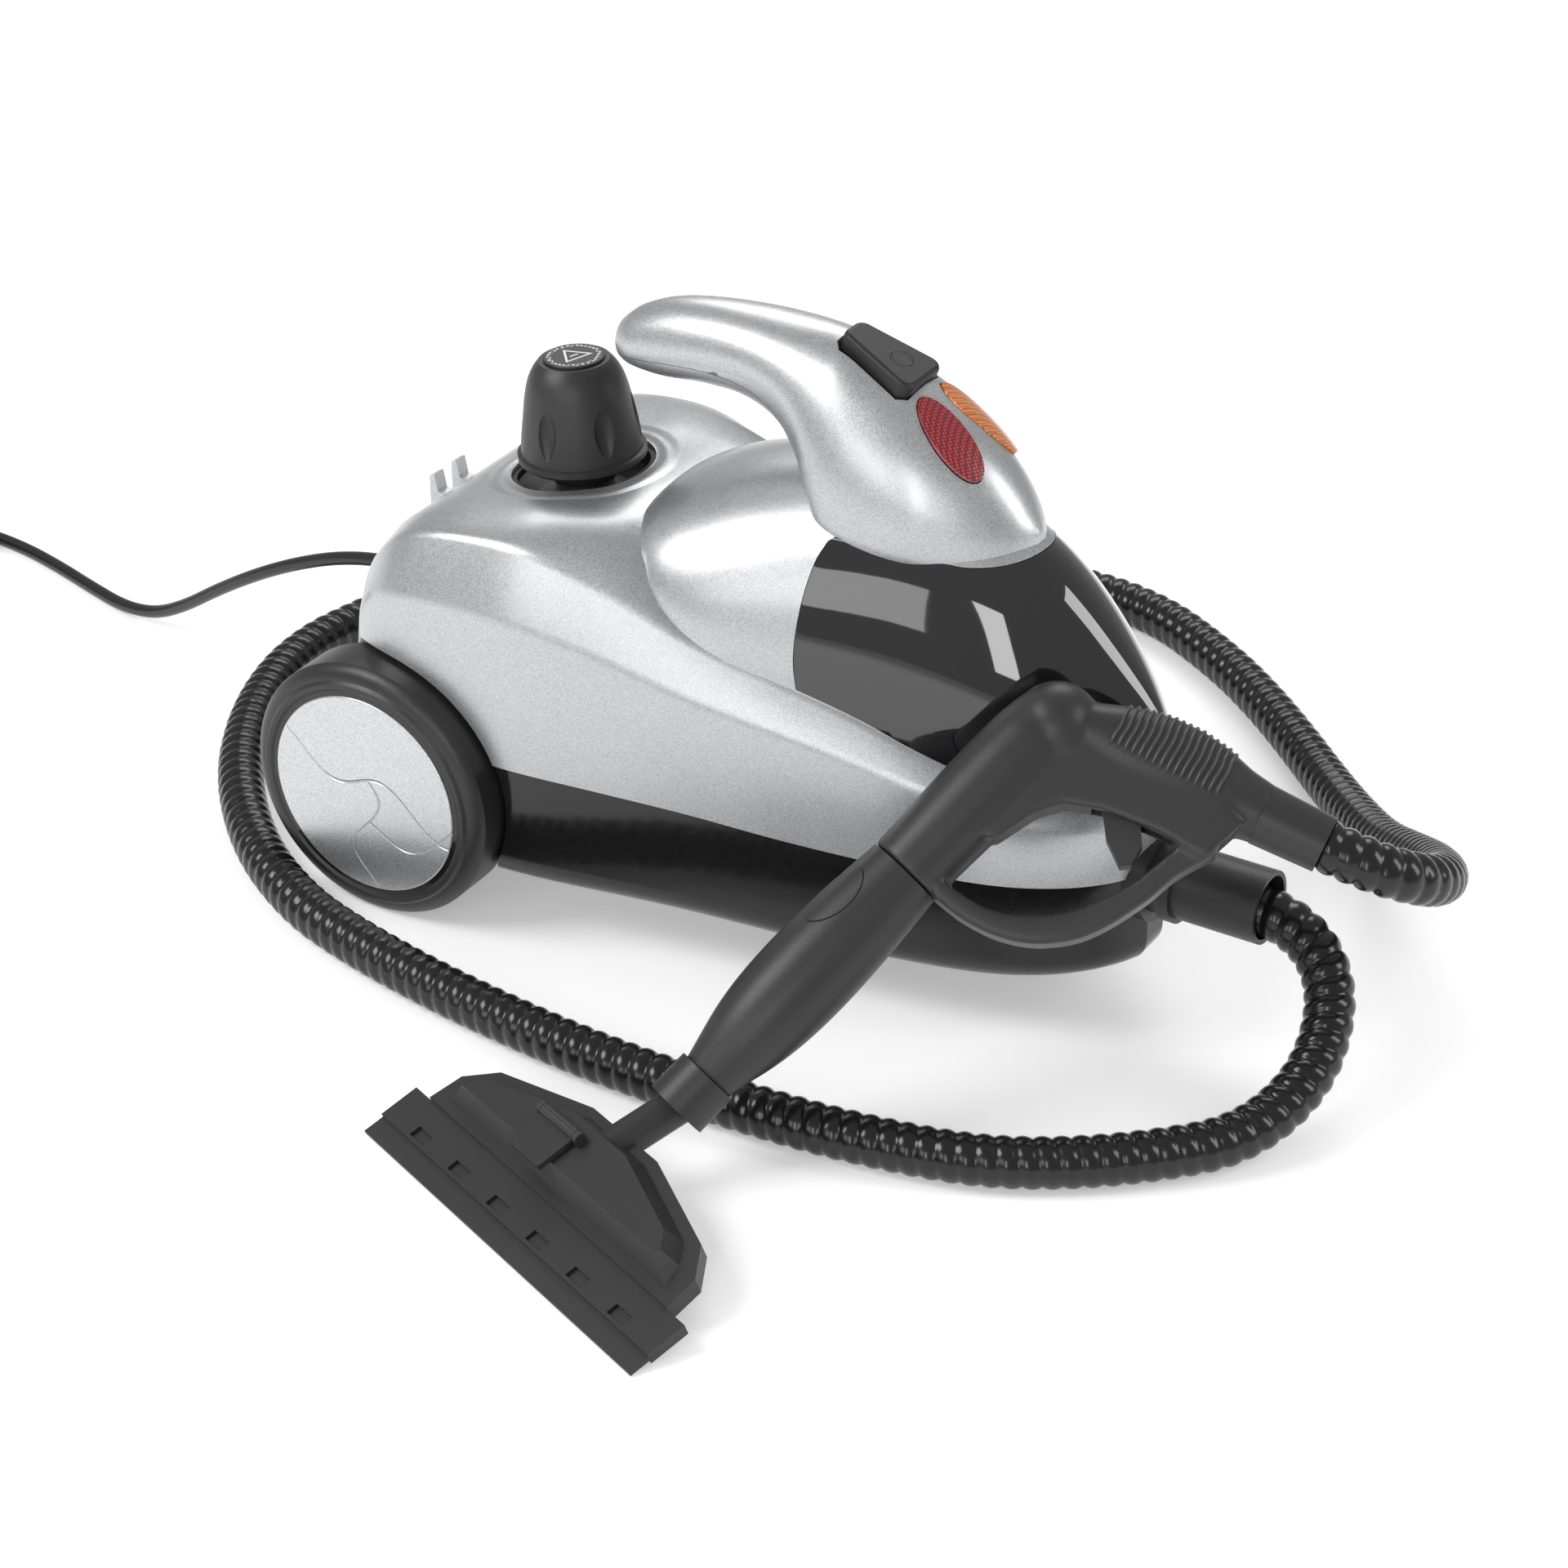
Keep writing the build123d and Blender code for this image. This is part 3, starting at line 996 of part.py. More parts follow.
# ---- squeegee ---------------------------------------------------------------------------------------------------------
latch_origin = HEAD.origin + HEAD.x_dir * LATCH_X + HEAD.y_dir * LATCH_HINGE_Y + HEAD.z_dir * (HEAD_TOP + LATCH_GAP)
LATCH = Plane(origin=latch_origin, x_dir=HEAD.x_dir, z_dir=HEAD.z_dir)
LATCH_PIVOT = Plane(origin=latch_origin + HEAD.z_dir * 3, x_dir=HEAD.y_dir, z_dir=HEAD.x_dir)
neck_start = HEAD.origin + HEAD.y_dir * 70 + HEAD.z_dir * 3
neck_end = GUN.origin + GUN.x_dir * (COLLAR_START + 4)
neck_way = (neck_end - neck_start).normalized()
with BuildPart() as squeegee_head:
    with BuildSketch(HEAD.offset(-4)):
        with BuildLine():
            Polyline((-HEAD_HALF, HOLDER_DEPTH), (HEAD_HALF, HOLDER_DEPTH), (HEAD_HALF - 2, 44),
                     (HEAD_HALF - 16, 58), (26, 74), (-26, 74), (16 - HEAD_HALF, 58), (2 - HEAD_HALF, 44), close=True)
        make_face()
    extrude(amount=9)
    with BuildSketch(HEAD.offset(5)):
        with BuildLine():
            Polyline((10 - HEAD_HALF, HOLDER_DEPTH + 6), (HEAD_HALF - 10, HOLDER_DEPTH + 6), (HEAD_HALF - 14, 44),
                     (HEAD_HALF - 24, 54), (22, 69), (-22, 69), (24 - HEAD_HALF, 54), (14 - HEAD_HALF, 44), close=True)
        make_face()
    extrude(amount=11, taper=28)
    add(rod(15.5, COLLAR_START, TUBE_START))
    add(rod(SPIGOT_RADIUS, TUBE_START, TUBE_START + SPIGOT_LENGTH))
    with BuildSketch(Plane(origin=neck_start - neck_way * 14, z_dir=neck_way)):
        Circle(9)
    extrude(amount=(neck_end - neck_start).length + 16)
    add(rod(3, COLLAR_START + 2, TUBE_START + SPIGOT_LENGTH + 1), mode=Mode.SUBTRACT)
    for way in (-1, 1):
        with BuildSketch(LATCH_PIVOT.offset(way * (LATCH_WIDTH / 2 + 0.3))):
            Circle(3)
            with Locations((0, -3)):
                Rectangle(6, 8)
        extrude(amount=way * 3)
    with BuildSketch(LATCH_PIVOT.offset(-LATCH_WIDTH / 2 - 1)):
        Circle(LATCH_PIN_RADIUS)
    extrude(amount=LATCH_WIDTH + 2)
finish(squeegee_head, "squeegee_head")

with BuildPart() as squeegee_latch:
    with BuildSketch(LATCH):
        with Locations((0, -LATCH_LENGTH / 2)):
            RectangleRounded(LATCH_WIDTH, LATCH_LENGTH, 1.5)
    extrude(amount=3)
    with BuildSketch(LATCH_PIVOT.offset(-LATCH_WIDTH / 2)):
        Circle(3)
    extrude(amount=LATCH_WIDTH)
    with BuildSketch(LATCH_PIVOT.offset(-LATCH_WIDTH)):
        Circle(LATCH_PIN_RADIUS + RUN)
    extrude(amount=2 * LATCH_WIDTH, mode=Mode.SUBTRACT)
finish(squeegee_latch, "squeegee_latch")

with BuildPart() as blade_holder:
    with BuildSketch(HEAD.offset(-3)):
        with Locations((0, (HOLDER_DEPTH + 5) / 2)):
            Rectangle(BLADE_LENGTH, HOLDER_DEPTH - 5)
    extrude(amount=6)
    with BuildSketch(HEAD.offset(-3 + 4.2)):
        with Locations((0, 10)):
            with GridLocations(33, 0, 6, 1):
                Rectangle(12, 6)
    extrude(amount=4, mode=Mode.SUBTRACT)
    with BuildSketch(HEAD.offset(-BLADE_THICK / 2)):
        with Locations((0, 8)):
            Rectangle(BLADE_LENGTH + 2, 8)
    extrude(amount=BLADE_THICK, mode=Mode.SUBTRACT)
finish(blade_holder, "blade_holder")

with BuildPart() as blade_rubber:
    with BuildSketch(HEAD.offset(-BLADE_THICK / 2)):
        with Locations((0, 3)):
            Rectangle(BLADE_LENGTH, 18)
    extrude(amount=BLADE_THICK)
finish(blade_rubber, "blade_rubber")

# ---- hose: plug, tube and the mains cord --------------------------------------------------------------------------------
with BuildPart() as hose_plug:
    with BuildSketch(SOCKET.offset(HOSE_PLUG_X - SOCKET_X)):
        Circle(HOSE_PLUG_RADIUS)
    extrude(amount=HOSE_PLUG_END_X - HOSE_PLUG_X)
    with BuildSketch(SOCKET.offset(HOSE_ROUTE[0][0] - SOCKET_X)):
        Circle(HOSE_PLUG_RADIUS - WALL)
    extrude(amount=60, mode=Mode.SUBTRACT)
    with BuildSketch(SOCKET):
        Circle(2.8)
    extrude(amount=120, mode=Mode.SUBTRACT)
    with BuildSketch(SOCKET.offset(SOCKET_END_X + 6 - SOCKET_X)):
        Circle(HOSE_PLUG_RADIUS + 2.5)
        Circle(HOSE_PLUG_RADIUS - 1, mode=Mode.SUBTRACT)
    extrude(amount=7)
finish(hose_plug, "hose_plug")

with BuildPart() as mains_cord:
    with BuildLine():
        FilletPolyline(*CORD_ROUTE, radius=bend_radii(CORD_ROUTE))
    with BuildSketch(Plane(origin=CORD_ROUTE[0], z_dir=Vector(*CORD_ROUTE[1]) - Vector(*CORD_ROUTE[0]))):
        Circle(CORD_RADIUS)
    sweep()
finish(mains_cord, "mains_cord")

COIL = Plane(origin=(COIL_X, COIL_Y, 0))
with BuildPart() as mains_coil:
    with BuildSketch(COIL):
        Circle(COIL_TURN_RADIUS + COIL_HALF_WIDTH)
        Circle(COIL_TURN_RADIUS - COIL_HALF_WIDTH, mode=Mode.SUBTRACT)
    extrude(amount=COIL_HEIGHT)
    fillet(mains_coil.edges().filter_by(GeomType.CIRCLE), 8)
    add(mains_cord.part, mode=Mode.SUBTRACT)
finish(mains_coil, "mains_coil")

with BuildPart() as mains_plug:
    with BuildSketch(COIL.offset(COIL_HEIGHT)):
        with Locations((0, -COIL_TURN_RADIUS)):
            RectangleRounded(34, 26, 8)
    extrude(amount=18)
    with BuildSketch(Plane(origin=(COIL_X + 17, COIL_Y - COIL_TURN_RADIUS, COIL_HEIGHT + 9), x_dir=(0, 1, 0),
                           z_dir=(1, 0, 0))):
        with Locations((-9.5, 0), (9.5, 0)):
            Circle(2.4)
    extrude(amount=19)
finish(mains_plug, "mains_plug")

for name, route in (("hose", HOSE_ROUTE), ("cord", CORD_ROUTE)):
    length = sum((Vector(*b) - Vector(*a)).length for a, b in zip(route, route[1:]))
    print(name, "route", round(length), "mm; radii", [round(r) for r in bend_radii(route)])
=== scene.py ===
import bpy
from math import atan2, cos, degrees, pi, radians, sin
from mathutils import Matrix, Vector


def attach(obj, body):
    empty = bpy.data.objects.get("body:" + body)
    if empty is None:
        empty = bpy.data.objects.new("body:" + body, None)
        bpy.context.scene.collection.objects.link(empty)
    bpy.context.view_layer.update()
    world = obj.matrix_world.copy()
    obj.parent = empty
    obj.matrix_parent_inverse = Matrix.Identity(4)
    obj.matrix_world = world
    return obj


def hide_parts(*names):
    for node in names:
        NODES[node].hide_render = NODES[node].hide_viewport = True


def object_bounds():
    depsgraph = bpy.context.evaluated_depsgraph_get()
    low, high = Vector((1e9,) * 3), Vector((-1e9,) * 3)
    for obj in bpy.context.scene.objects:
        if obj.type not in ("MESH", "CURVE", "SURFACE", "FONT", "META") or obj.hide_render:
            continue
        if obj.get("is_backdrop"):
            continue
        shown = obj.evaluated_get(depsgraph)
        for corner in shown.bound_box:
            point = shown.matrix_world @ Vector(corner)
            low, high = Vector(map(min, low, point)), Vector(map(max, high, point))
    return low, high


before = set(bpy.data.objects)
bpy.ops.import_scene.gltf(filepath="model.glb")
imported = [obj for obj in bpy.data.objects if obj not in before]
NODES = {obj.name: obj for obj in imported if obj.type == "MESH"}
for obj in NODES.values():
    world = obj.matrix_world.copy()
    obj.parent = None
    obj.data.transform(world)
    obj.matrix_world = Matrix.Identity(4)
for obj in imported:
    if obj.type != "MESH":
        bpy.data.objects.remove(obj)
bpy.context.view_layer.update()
scene = bpy.context.scene

# ---- camera -----------------------------------------------------------------------------------------
CAMERA_AT = Vector((1.100839, -1.519219, 1.127248))
CAMERA_TO = Vector((0.178956, -0.015079, 0.074629))
camera_data = bpy.data.cameras.new("camera")
camera_data.lens = 93.75
camera_data.sensor_width = 36.0
camera_data.clip_end = 50
camera = bpy.data.objects.new("camera", camera_data)
camera.location = CAMERA_AT
camera.rotation_euler = (CAMERA_TO - CAMERA_AT).to_track_quat("-Z", "Y").to_euler()
scene.collection.objects.link(camera)
scene.camera = camera

# ---- places taken from the frame ------------------------------------------------------------------------
AXLE_HEIGHT = 0.070
TILT = radians(4.0)
CAP_AXIS = Vector((-sin(TILT), 0, cos(TILT)))
FILLER_CENTRE = Vector((0.052, 0, 0.211))

GUN_ORIGIN = Vector((0.2613, -0.2285, 0.0450))
GUN_ELBOW = Vector((0.3519, -0.0589, 0.1860))
GUN_GRIP_END = Vector((0.4658, -0.0315, 0.1550))
GUN_U = (GUN_ELBOW - GUN_ORIGIN).normalized()
GUN_W = (GUN_GRIP_END - GUN_ORIGIN).cross(GUN_U).normalized()
GUN_V = GUN_W.cross(GUN_U)

# The sloping top of the head in millimetres, and the button that stands a little proud of it.
SLOPE_REAR_X, SLOPE_REAR_Z = 208, 323.5
SLOPE_FRONT_X, SLOPE_FRONT_Z = 245, 308.5
SLOPE_RISE = SLOPE_FRONT_Z - SLOPE_REAR_Z
SLOPE_RUN = SLOPE_FRONT_X - SLOPE_REAR_X
BUTTON_FROM_REAR = 19.5
BUTTON_LIFT = 0.9
BUTTON_SLOPE = atan2(SLOPE_RISE, SLOPE_RUN)
BUTTON_HEIGHT = SLOPE_REAR_Z + BUTTON_FROM_REAR * SLOPE_RISE / SLOPE_RUN + BUTTON_LIFT
BUTTON_CENTRE = Vector((0.2275, 0, BUTTON_HEIGHT / 1000))
BUTTON_NORMAL = Vector((-sin(BUTTON_SLOPE), 0, cos(BUTTON_SLOPE)))
BUTTON_ALONG = Vector((cos(BUTTON_SLOPE), 0, sin(BUTTON_SLOPE)))


def place(origin, x_way, y_way):
    """A matrix that puts a piece made flat at the middle of the world where it belongs."""
    x_way = x_way.normalized()
    z_way = x_way.cross(y_way).normalized()
    y_way = z_way.cross(x_way)
    turn = Matrix((x_way, y_way, z_way)).transposed().to_4x4()
    return Matrix.Translation(origin) @ turn


GUN_FRAME = place(GUN_ORIGIN, GUN_U, GUN_V)


# ---- shader maths -----------------------------------------------------------------------------------------
class Value:
    """A socket that can be used in sums."""

    def __init__(self, finish, socket):
        self.finish = finish
        self.socket = socket

    def join(self, operation, *others):
        return self.finish.node("ShaderNodeMath", {"operation": operation}, dict(enumerate((self, *others))))

    def __add__(self, other):
        return self.join("ADD", other)

    __radd__ = __add__

    def __mul__(self, other):
        return self.join("MULTIPLY", other)

    __rmul__ = __mul__

    def __sub__(self, other):
        return self.join("SUBTRACT", other)

    def __rsub__(self, other):
        return (self * -1) + other

    def __truediv__(self, other):
        return self.join("DIVIDE", other)

    def __pow__(self, other):
        return self.join("POWER", other)

    def __abs__(self):
        return self.join("ABSOLUTE")

    def __lt__(self, other):
        return self.join("LESS_THAN", other)

    def __gt__(self, other):
        return self.join("GREATER_THAN", other)

    def low(self, other):
        return self.join("MINIMUM", other)

    def high(self, other):
        return self.join("MAXIMUM", other)

    def sine(self):
        return self.join("SINE")

    def root(self):
        return self.join("SQRT")


class Finish:
    """A material that is built up from nodes."""

    def __init__(self, name, **constants):
        self.material = bpy.data.materials.new(name)
        self.material.use_nodes = True
        self.tree = self.material.node_tree
        self.shader = self.tree.nodes["Principled BSDF"]
        self.set(**constants)

    def node(self, kind, settings=None, values=None, out=0):
        made = self.tree.nodes.new(kind)
        for key, value in (settings or {}).items():
            if key == "stops":
                ramp = made.color_ramp.elements
                while len(ramp) < len(value):
                    ramp.new(1.0)
                for stop, (place_at, colour) in zip(ramp, value):
                    stop.position = place_at
                    stop.color = colour
            else:
                setattr(made, key, value)
        for key, value in (values or {}).items():
            self.feed(made.inputs[key], value)
        return Value(self, made.outputs[out])

    def feed(self, socket, value):
        if isinstance(value, Value):
            self.tree.links.new(value.socket, socket)
        else:
            socket.default_value = value

    def set(self, **values):
        for key, value in values.items():
            self.feed(self.shader.inputs[key.replace("_", " ")], value)

    def place(self, scale=1.0, centre=(0, 0, 0), turn=(0, 0, 0)):
        """Object coordinates, moved so that centre is the origin, then turned and scaled."""
        where = self.node("ShaderNodeTexCoord", out="Object")
        moved = self.node("ShaderNodeVectorMath", {"operation": "SUBTRACT"}, {0: where, 1: centre})
        return self.node("ShaderNodeMapping", None,
                         {"Vector": moved, "Rotation": turn, "Scale": (scale, scale, scale)})

    def axes(self, vector):
        parts = self.node("ShaderNodeSeparateXYZ", None, {0: vector})
        outs = parts.socket.node.outputs
        return Value(self, outs[0]), Value(self, outs[1]), Value(self, outs[2])

    def along(self, centre, way):
        """Distance from centre along a direction."""
        where = self.node("ShaderNodeTexCoord", out="Object")
        moved = self.node("ShaderNodeVectorMath", {"operation": "SUBTRACT"}, {0: where, 1: tuple(centre)})
        return self.node("ShaderNodeVectorMath", {"operation": "DOT_PRODUCT"},
                         {0: moved, 1: tuple(way)}, "Value")

    def noise(self, scale, detail=2.0, rough=0.5, vector=None):
        vector = vector or self.place()
        return self.node("ShaderNodeTexNoise", None,
                         {"Vector": vector, "Scale": scale, "Detail": detail, "Roughness": rough})

    def dots(self, scale, feature="F1", out="Distance", vector=None):
        vector = vector or self.place()
        return self.node("ShaderNodeTexVoronoi", {"feature": feature},
                         {"Vector": vector, "Scale": scale}, out)

    def mix(self, factor, first, second):
        made = self.node("ShaderNodeMix", {"data_type": "RGBA"}, {0: factor, 6: first, 7: second}, 2)
        return made

    def step(self, value, low, high):
        """0 below low, 1 above high, smooth between."""
        return self.node("ShaderNodeMapRange", {"interpolation_type": "SMOOTHSTEP"},
                         {"Value": value, "From Min": low, "From Max": high})

    def bump(self, height, distance, strength=1.0, after=None):
        values = {"Height": height, "Distance": distance, "Strength": strength}
        if after:
            values["Normal"] = after
        return self.node("ShaderNodeBump", None, values)


def colour(red, green=None, blue=None):
    if green is None:
        green = blue = red
    return (red, green, blue, 1.0)


def silver_lacquer(name, tone=0.50, rough=0.34):
    """Metallic lacquer: a fine flake that sparkles, over a smooth coat."""
    finish = Finish(name, Metallic=0.80, Coat_Weight=0.22, Coat_Roughness=0.10)
    flake = finish.dots(2600, out="Color")
    grain = finish.node("ShaderNodeSeparateColor", None, {0: flake})
    cloud = finish.noise(9, 3)
    shade = finish.node("ShaderNodeMapRange", None,
                        {"Value": grain, "To Min": tone * 0.76, "To Max": tone * 1.20})
    tint = finish.node("ShaderNodeCombineColor", None, {0: shade * 0.985, 1: shade * 0.995, 2: shade * 1.02})
    finish.set(Base_Color=tint)
    finish.set(Roughness=grain * 0.10 + cloud * 0.04 + (rough - 0.06))
    return finish, finish.bump(grain, 0.00001, 0.6)


def plain_silver():
    finish, normal = silver_lacquer("silver lacquer")
    finish.set(Normal=normal)
    return finish.material


def deck_silver():
    """The shell's lacquer, with the soft ridge round the filler hole."""
    finish, normal = silver_lacquer("silver lacquer shell")
    u = finish.along(FILLER_CENTRE, (cos(TILT), 0, sin(TILT)))
    v = finish.along(FILLER_CENTRE, (0, 1, 0))
    ridge = finish.step(abs((u * u + v * v).root() - 0.0435), 0.0065, 0.0005)
    finish.set(Normal=finish.bump(ridge, 0.0014, 1.0, normal))
    return finish.material


def gloss_black():
    finish = Finish("gloss black", Specular_IOR_Level=0.5)
    speck = finish.noise(300, 2)
    finish.set(Base_Color=finish.mix(speck, colour(0.006), colour(0.013)))
    finish.set(Roughness=speck * 0.06 + 0.07)
    finish.set(Normal=finish.bump(finish.noise(60, 2), 0.00006))
    return finish.material


def smoked_visor():
    finish = Finish("smoked visor", Coat_Weight=1.0, Coat_Roughness=0.02)
    haze = finish.noise(7, 3)
    finish.set(Base_Color=finish.mix(haze, colour(0.004, 0.004, 0.005), colour(0.010, 0.010, 0.012)))
    finish.set(Roughness=haze * 0.05 + 0.03)
    finish.set(Normal=finish.bump(finish.noise(12, 1), 0.0002))
    return finish.material


def satin_charcoal(name="satin charcoal", tone=0.024, rough=0.42, scale=900, depth=0.00005):
    """Moulded plastic with a fine spark-eroded grain."""
    finish = Finish(name, Specular_IOR_Level=0.45)
    grain = finish.noise(scale, 3, 0.6)
    cloud = finish.noise(11, 3)
    finish.set(Base_Color=finish.mix(cloud, colour(tone * 0.85), colour(tone * 1.15)))
    finish.set(Roughness=grain * 0.12 + cloud * 0.06 + (rough - 0.09))
    finish.set(Normal=finish.bump(grain, depth))
    return finish.material


LENS_CELLS = 620.0


def lens(name, deep, bright):
    """A moulded lens: small round prisms behind a clear face."""
    finish = Finish(name, Coat_Weight=1.0, Coat_Roughness=0.03, Roughness=0.25)
    cells = finish.node("ShaderNodeTexVoronoi", None,
                        {"Vector": finish.place(turn=(0.4, 0.5, 0.2)), "Scale": LENS_CELLS, "Randomness": 0.0},
                        "Distance")
    prism = finish.step(cells, 0.25, 0.60)
    finish.set(Base_Color=finish.mix(prism, colour(*bright), colour(*deep)))
    finish.set(Normal=finish.bump(prism, 0.0002, 0.35))
    finish.set(Emission_Color=finish.mix(prism, colour(*bright), colour(*deep)), Emission_Strength=0.12)
    return finish.material


def bare_metal(name, tint, rough=0.28):
    finish = Finish(name, Metallic=1.0)
    brushed = finish.noise(420, 4, 0.7)
    finish.set(Base_Color=finish.mix(brushed, colour(*[part * 0.82 for part in tint]), colour(*tint)))
    finish.set(Roughness=brushed * 0.2 + (rough - 0.1))
    finish.set(Normal=finish.bump(brushed, 0.00003))
    return finish.material


SILVER = plain_silver()
SHELL = deck_silver()
BLACK_GLOSS = gloss_black()
VISOR = smoked_visor()
CHARCOAL = satin_charcoal()
TYRE = satin_charcoal("tyre rubber", 0.018, 0.38, 700, 0.00006)
RUBBER = satin_charcoal("soft rubber", 0.022, 0.50, 1100, 0.00004)
HOSE_BLACK = satin_charcoal("hose vinyl", 0.009, 0.20, 500, 0.00003)
CORD_BLACK = satin_charcoal("cord vinyl", 0.012, 0.32, 900, 0.00003)
RED_LENS = lens("red lens", (0.10, 0.002, 0.004), (0.42, 0.02, 0.03))
AMBER_LENS = lens("amber lens", (0.36, 0.075, 0.002), (0.80, 0.24, 0.01))
STEEL = bare_metal("steel", (0.62, 0.62, 0.63))
BRASS = bare_metal("brass", (0.78, 0.60, 0.30))

def hub_silver():
    """The lacquer of the hub caps, with the engraved waves."""
    finish, normal = silver_lacquer("hub silver", 0.56, 0.30)
    across, _, up = finish.axes(finish.place(centre=(0, 0, AXLE_HEIGHT)))
    wave = (across * 95 + 0.3).sine() * 0.0075 - across * 0.30 + 0.006
    wave_line = abs(up - wave)
    second = (up * 110 + 1.9).sine() * 0.0085 + 0.001
    second_line = abs(across - second).high((up - wave) * 1.0)
    third = (across * 80 + 2.4).sine() * 0.010 - 0.021 + across * 0.2
    third_line = abs(up - third).high((second - across) * 1.0)
    groove = finish.step(wave_line.low(second_line).low(third_line), 0.0001, 0.0009)
    finish.set(Normal=finish.bump(groove, 0.0006, 1.0, normal))
    return finish.material


def knob_top():
    """Charcoal disc with a white triangle in a ring."""
    finish = Finish("knob top", Roughness=0.4)
    u = finish.along(FILLER_CENTRE, (cos(TILT), 0, sin(TILT)))
    v = finish.along(FILLER_CENTRE, (0, 1, 0))
    edge = None
    for turn in (100, 220, 340):
        side = u * cos(radians(turn)) + v * sin(radians(turn))
        edge = side if edge is None else edge.high(side)
    radius = (u * u + v * v).root()
    dash = (u * 2600 + v * 900).sine() + (v * 2300).sine()
    letters = finish.step(abs(radius - 0.0126), 0.0012, 0.0009) * finish.step(dash, -0.1, 0.2)
    triangle = finish.step(abs(edge - 0.0042), 0.0007, 0.0004)
    mark_width = finish.step(abs(u * 0.94 - v * 0.34), 0.0006, 0.0004)
    mark = mark_width * finish.step(abs(u * 0.34 + v * 0.94), 0.0026, 0.0022)
    white = triangle.high(letters * 0.7).high(mark)
    finish.set(Base_Color=finish.mix(white, colour(0.014), colour(0.75)))
    finish.set(Normal=finish.bump(finish.noise(900, 3), 0.00003))
    return finish.material


def button_rubber():
    """Soft rubber with an embossed ring."""
    finish = Finish("button rubber", Specular_IOR_Level=0.4)
    u = finish.along(BUTTON_CENTRE + BUTTON_ALONG * 0.006, BUTTON_ALONG)
    v = finish.along(BUTTON_CENTRE, (0, 1, 0))
    ring = finish.step(abs((u * u + v * v).root() - 0.0055), 0.0009, 0.0003)
    grain = finish.noise(1000, 3)
    finish.set(Base_Color=finish.mix(grain, colour(0.013), colour(0.020)))
    finish.set(Roughness=grain * 0.1 + 0.42)
    finish.set(Normal=finish.bump(ring, 0.0004, 1.0, finish.bump(grain, 0.00004)))
    return finish.material


HUB_SILVER = hub_silver()
KNOB_TOP = knob_top()
BUTTON_RUBBER = button_rubber()
CUP_GREY = satin_charcoal("cup charcoal", 0.040, 0.5)

FINISHES = {
    HUB_SILVER: ["hub_cap_left", "hub_cap_right"],
    KNOB_TOP: ["cap_top_disc"],
    BUTTON_RUBBER: ["power_button"],
    CUP_GREY: ["filler_recess_cup"],
    SHELL: ["upper_shell"],
    SILVER: ["handle_upper_shell", "handle_lower_shell", "cord_hooks"],
    BLACK_GLOSS: ["base_pan", "wheel_hub_left", "wheel_hub_right"],
    VISOR: ["front_visor"],
    CHARCOAL: ["filler_cap_knob", "cap_plug", "squeegee_head", "squeegee_latch", "blade_holder",
               "extension_tube", "release_button", "gun_shell_near", "gun_shell_far", "gun_trigger", "gun_cuff",
               "hose_plug", "hose_socket", "caster_fork", "power_switch", "gun_microswitch", "terminal_block"],
    TYRE: ["tyre_left", "tyre_right", "caster_wheel"],
    RUBBER: ["blade_rubber", "cap_seal", "cord_gland", "mains_plug"],
    RED_LENS: ["red_lamp_lens"],
    AMBER_LENS: ["amber_lamp_lens"],
    STEEL: ["rear_axle", "axle_clips", "boiler_upper_half", "boiler_lower_half", "heating_element",
            "flange_screws", "shell_screws", "caster_pin", "trigger_pin", "steam_pipe", "boiler_pipe",
            "gun_steam_tube"],
    BRASS: ["steam_valve", "thermostat", "pressure_switch"],
}
for finish, names in FINISHES.items():
    for name in names:
        mesh = NODES[name].data
        mesh.materials.clear()
        mesh.materials.append(finish)


# ---- making pieces -----------------------------------------------------------------------------------------
def alone():
    """Nothing is selected."""
    if bpy.context.object and bpy.context.object.mode != "OBJECT":
        bpy.ops.object.mode_set(mode="OBJECT")
    bpy.ops.object.select_all(action="DESELECT")


def settle(piece, name, finish, body, matrix=None, smooth=40):
    """Puts a finished piece in its place, with its place in its mesh."""
    alone()
    piece.name = name
    piece.data.name = name
    piece.select_set(True)
    bpy.context.view_layer.objects.active = piece
    bpy.ops.object.transform_apply(location=True, rotation=True, scale=True)
    if matrix is not None:
        piece.data.transform(matrix)
        piece.data.update()
    if smooth:
        bpy.ops.object.shade_smooth_by_angle(angle=radians(smooth))
    piece.data.materials.clear()
    piece.data.materials.append(finish)
    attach(piece, body)
    return piece


def spline_points(route):
    """Points along a route's smooth line."""
    curve = route_curve("line", route)
    thing = bpy.data.objects.new("line", curve)
    scene.collection.objects.link(thing)
    mesh = bpy.data.meshes.new_from_object(thing)
    points = [v.co.copy() for v in mesh.vertices]
    bpy.data.objects.remove(thing)
    bpy.data.meshes.remove(mesh)
    return points


def route_curve(name, route):
    curve = bpy.data.curves.new(name, "CURVE")
    curve.dimensions = "3D"
    curve.resolution_u = 12
    spline = curve.splines.new("NURBS")
    spline.points.add(len(route) - 1)
    for point, (x, y, z) in zip(spline.points, route):
        point.co = (x / 1000, y / 1000, z / 1000, 1)
    spline.order_u = 3
    spline.use_endpoint_u = True
    return curve


def even_points(points, gap):
    """The same line with points a set distance apart, and the last one kept."""
    lengths = [0.0]
    for a, b in zip(points, points[1:]):
        lengths.append(lengths[-1] + (b - a).length)
    count = round(lengths[-1] / gap)
    out = []
    at = 0
    for step in range(count + 1):
        want = lengths[-1] * step / count
        while at < len(points) - 2 and lengths[at + 1] < want:
            at += 1
        share = (want - lengths[at]) / max(lengths[at + 1] - lengths[at], 1e-9)
        out.append(points[at].lerp(points[at + 1], min(share, 1.0)))
    return out, lengths[-1]


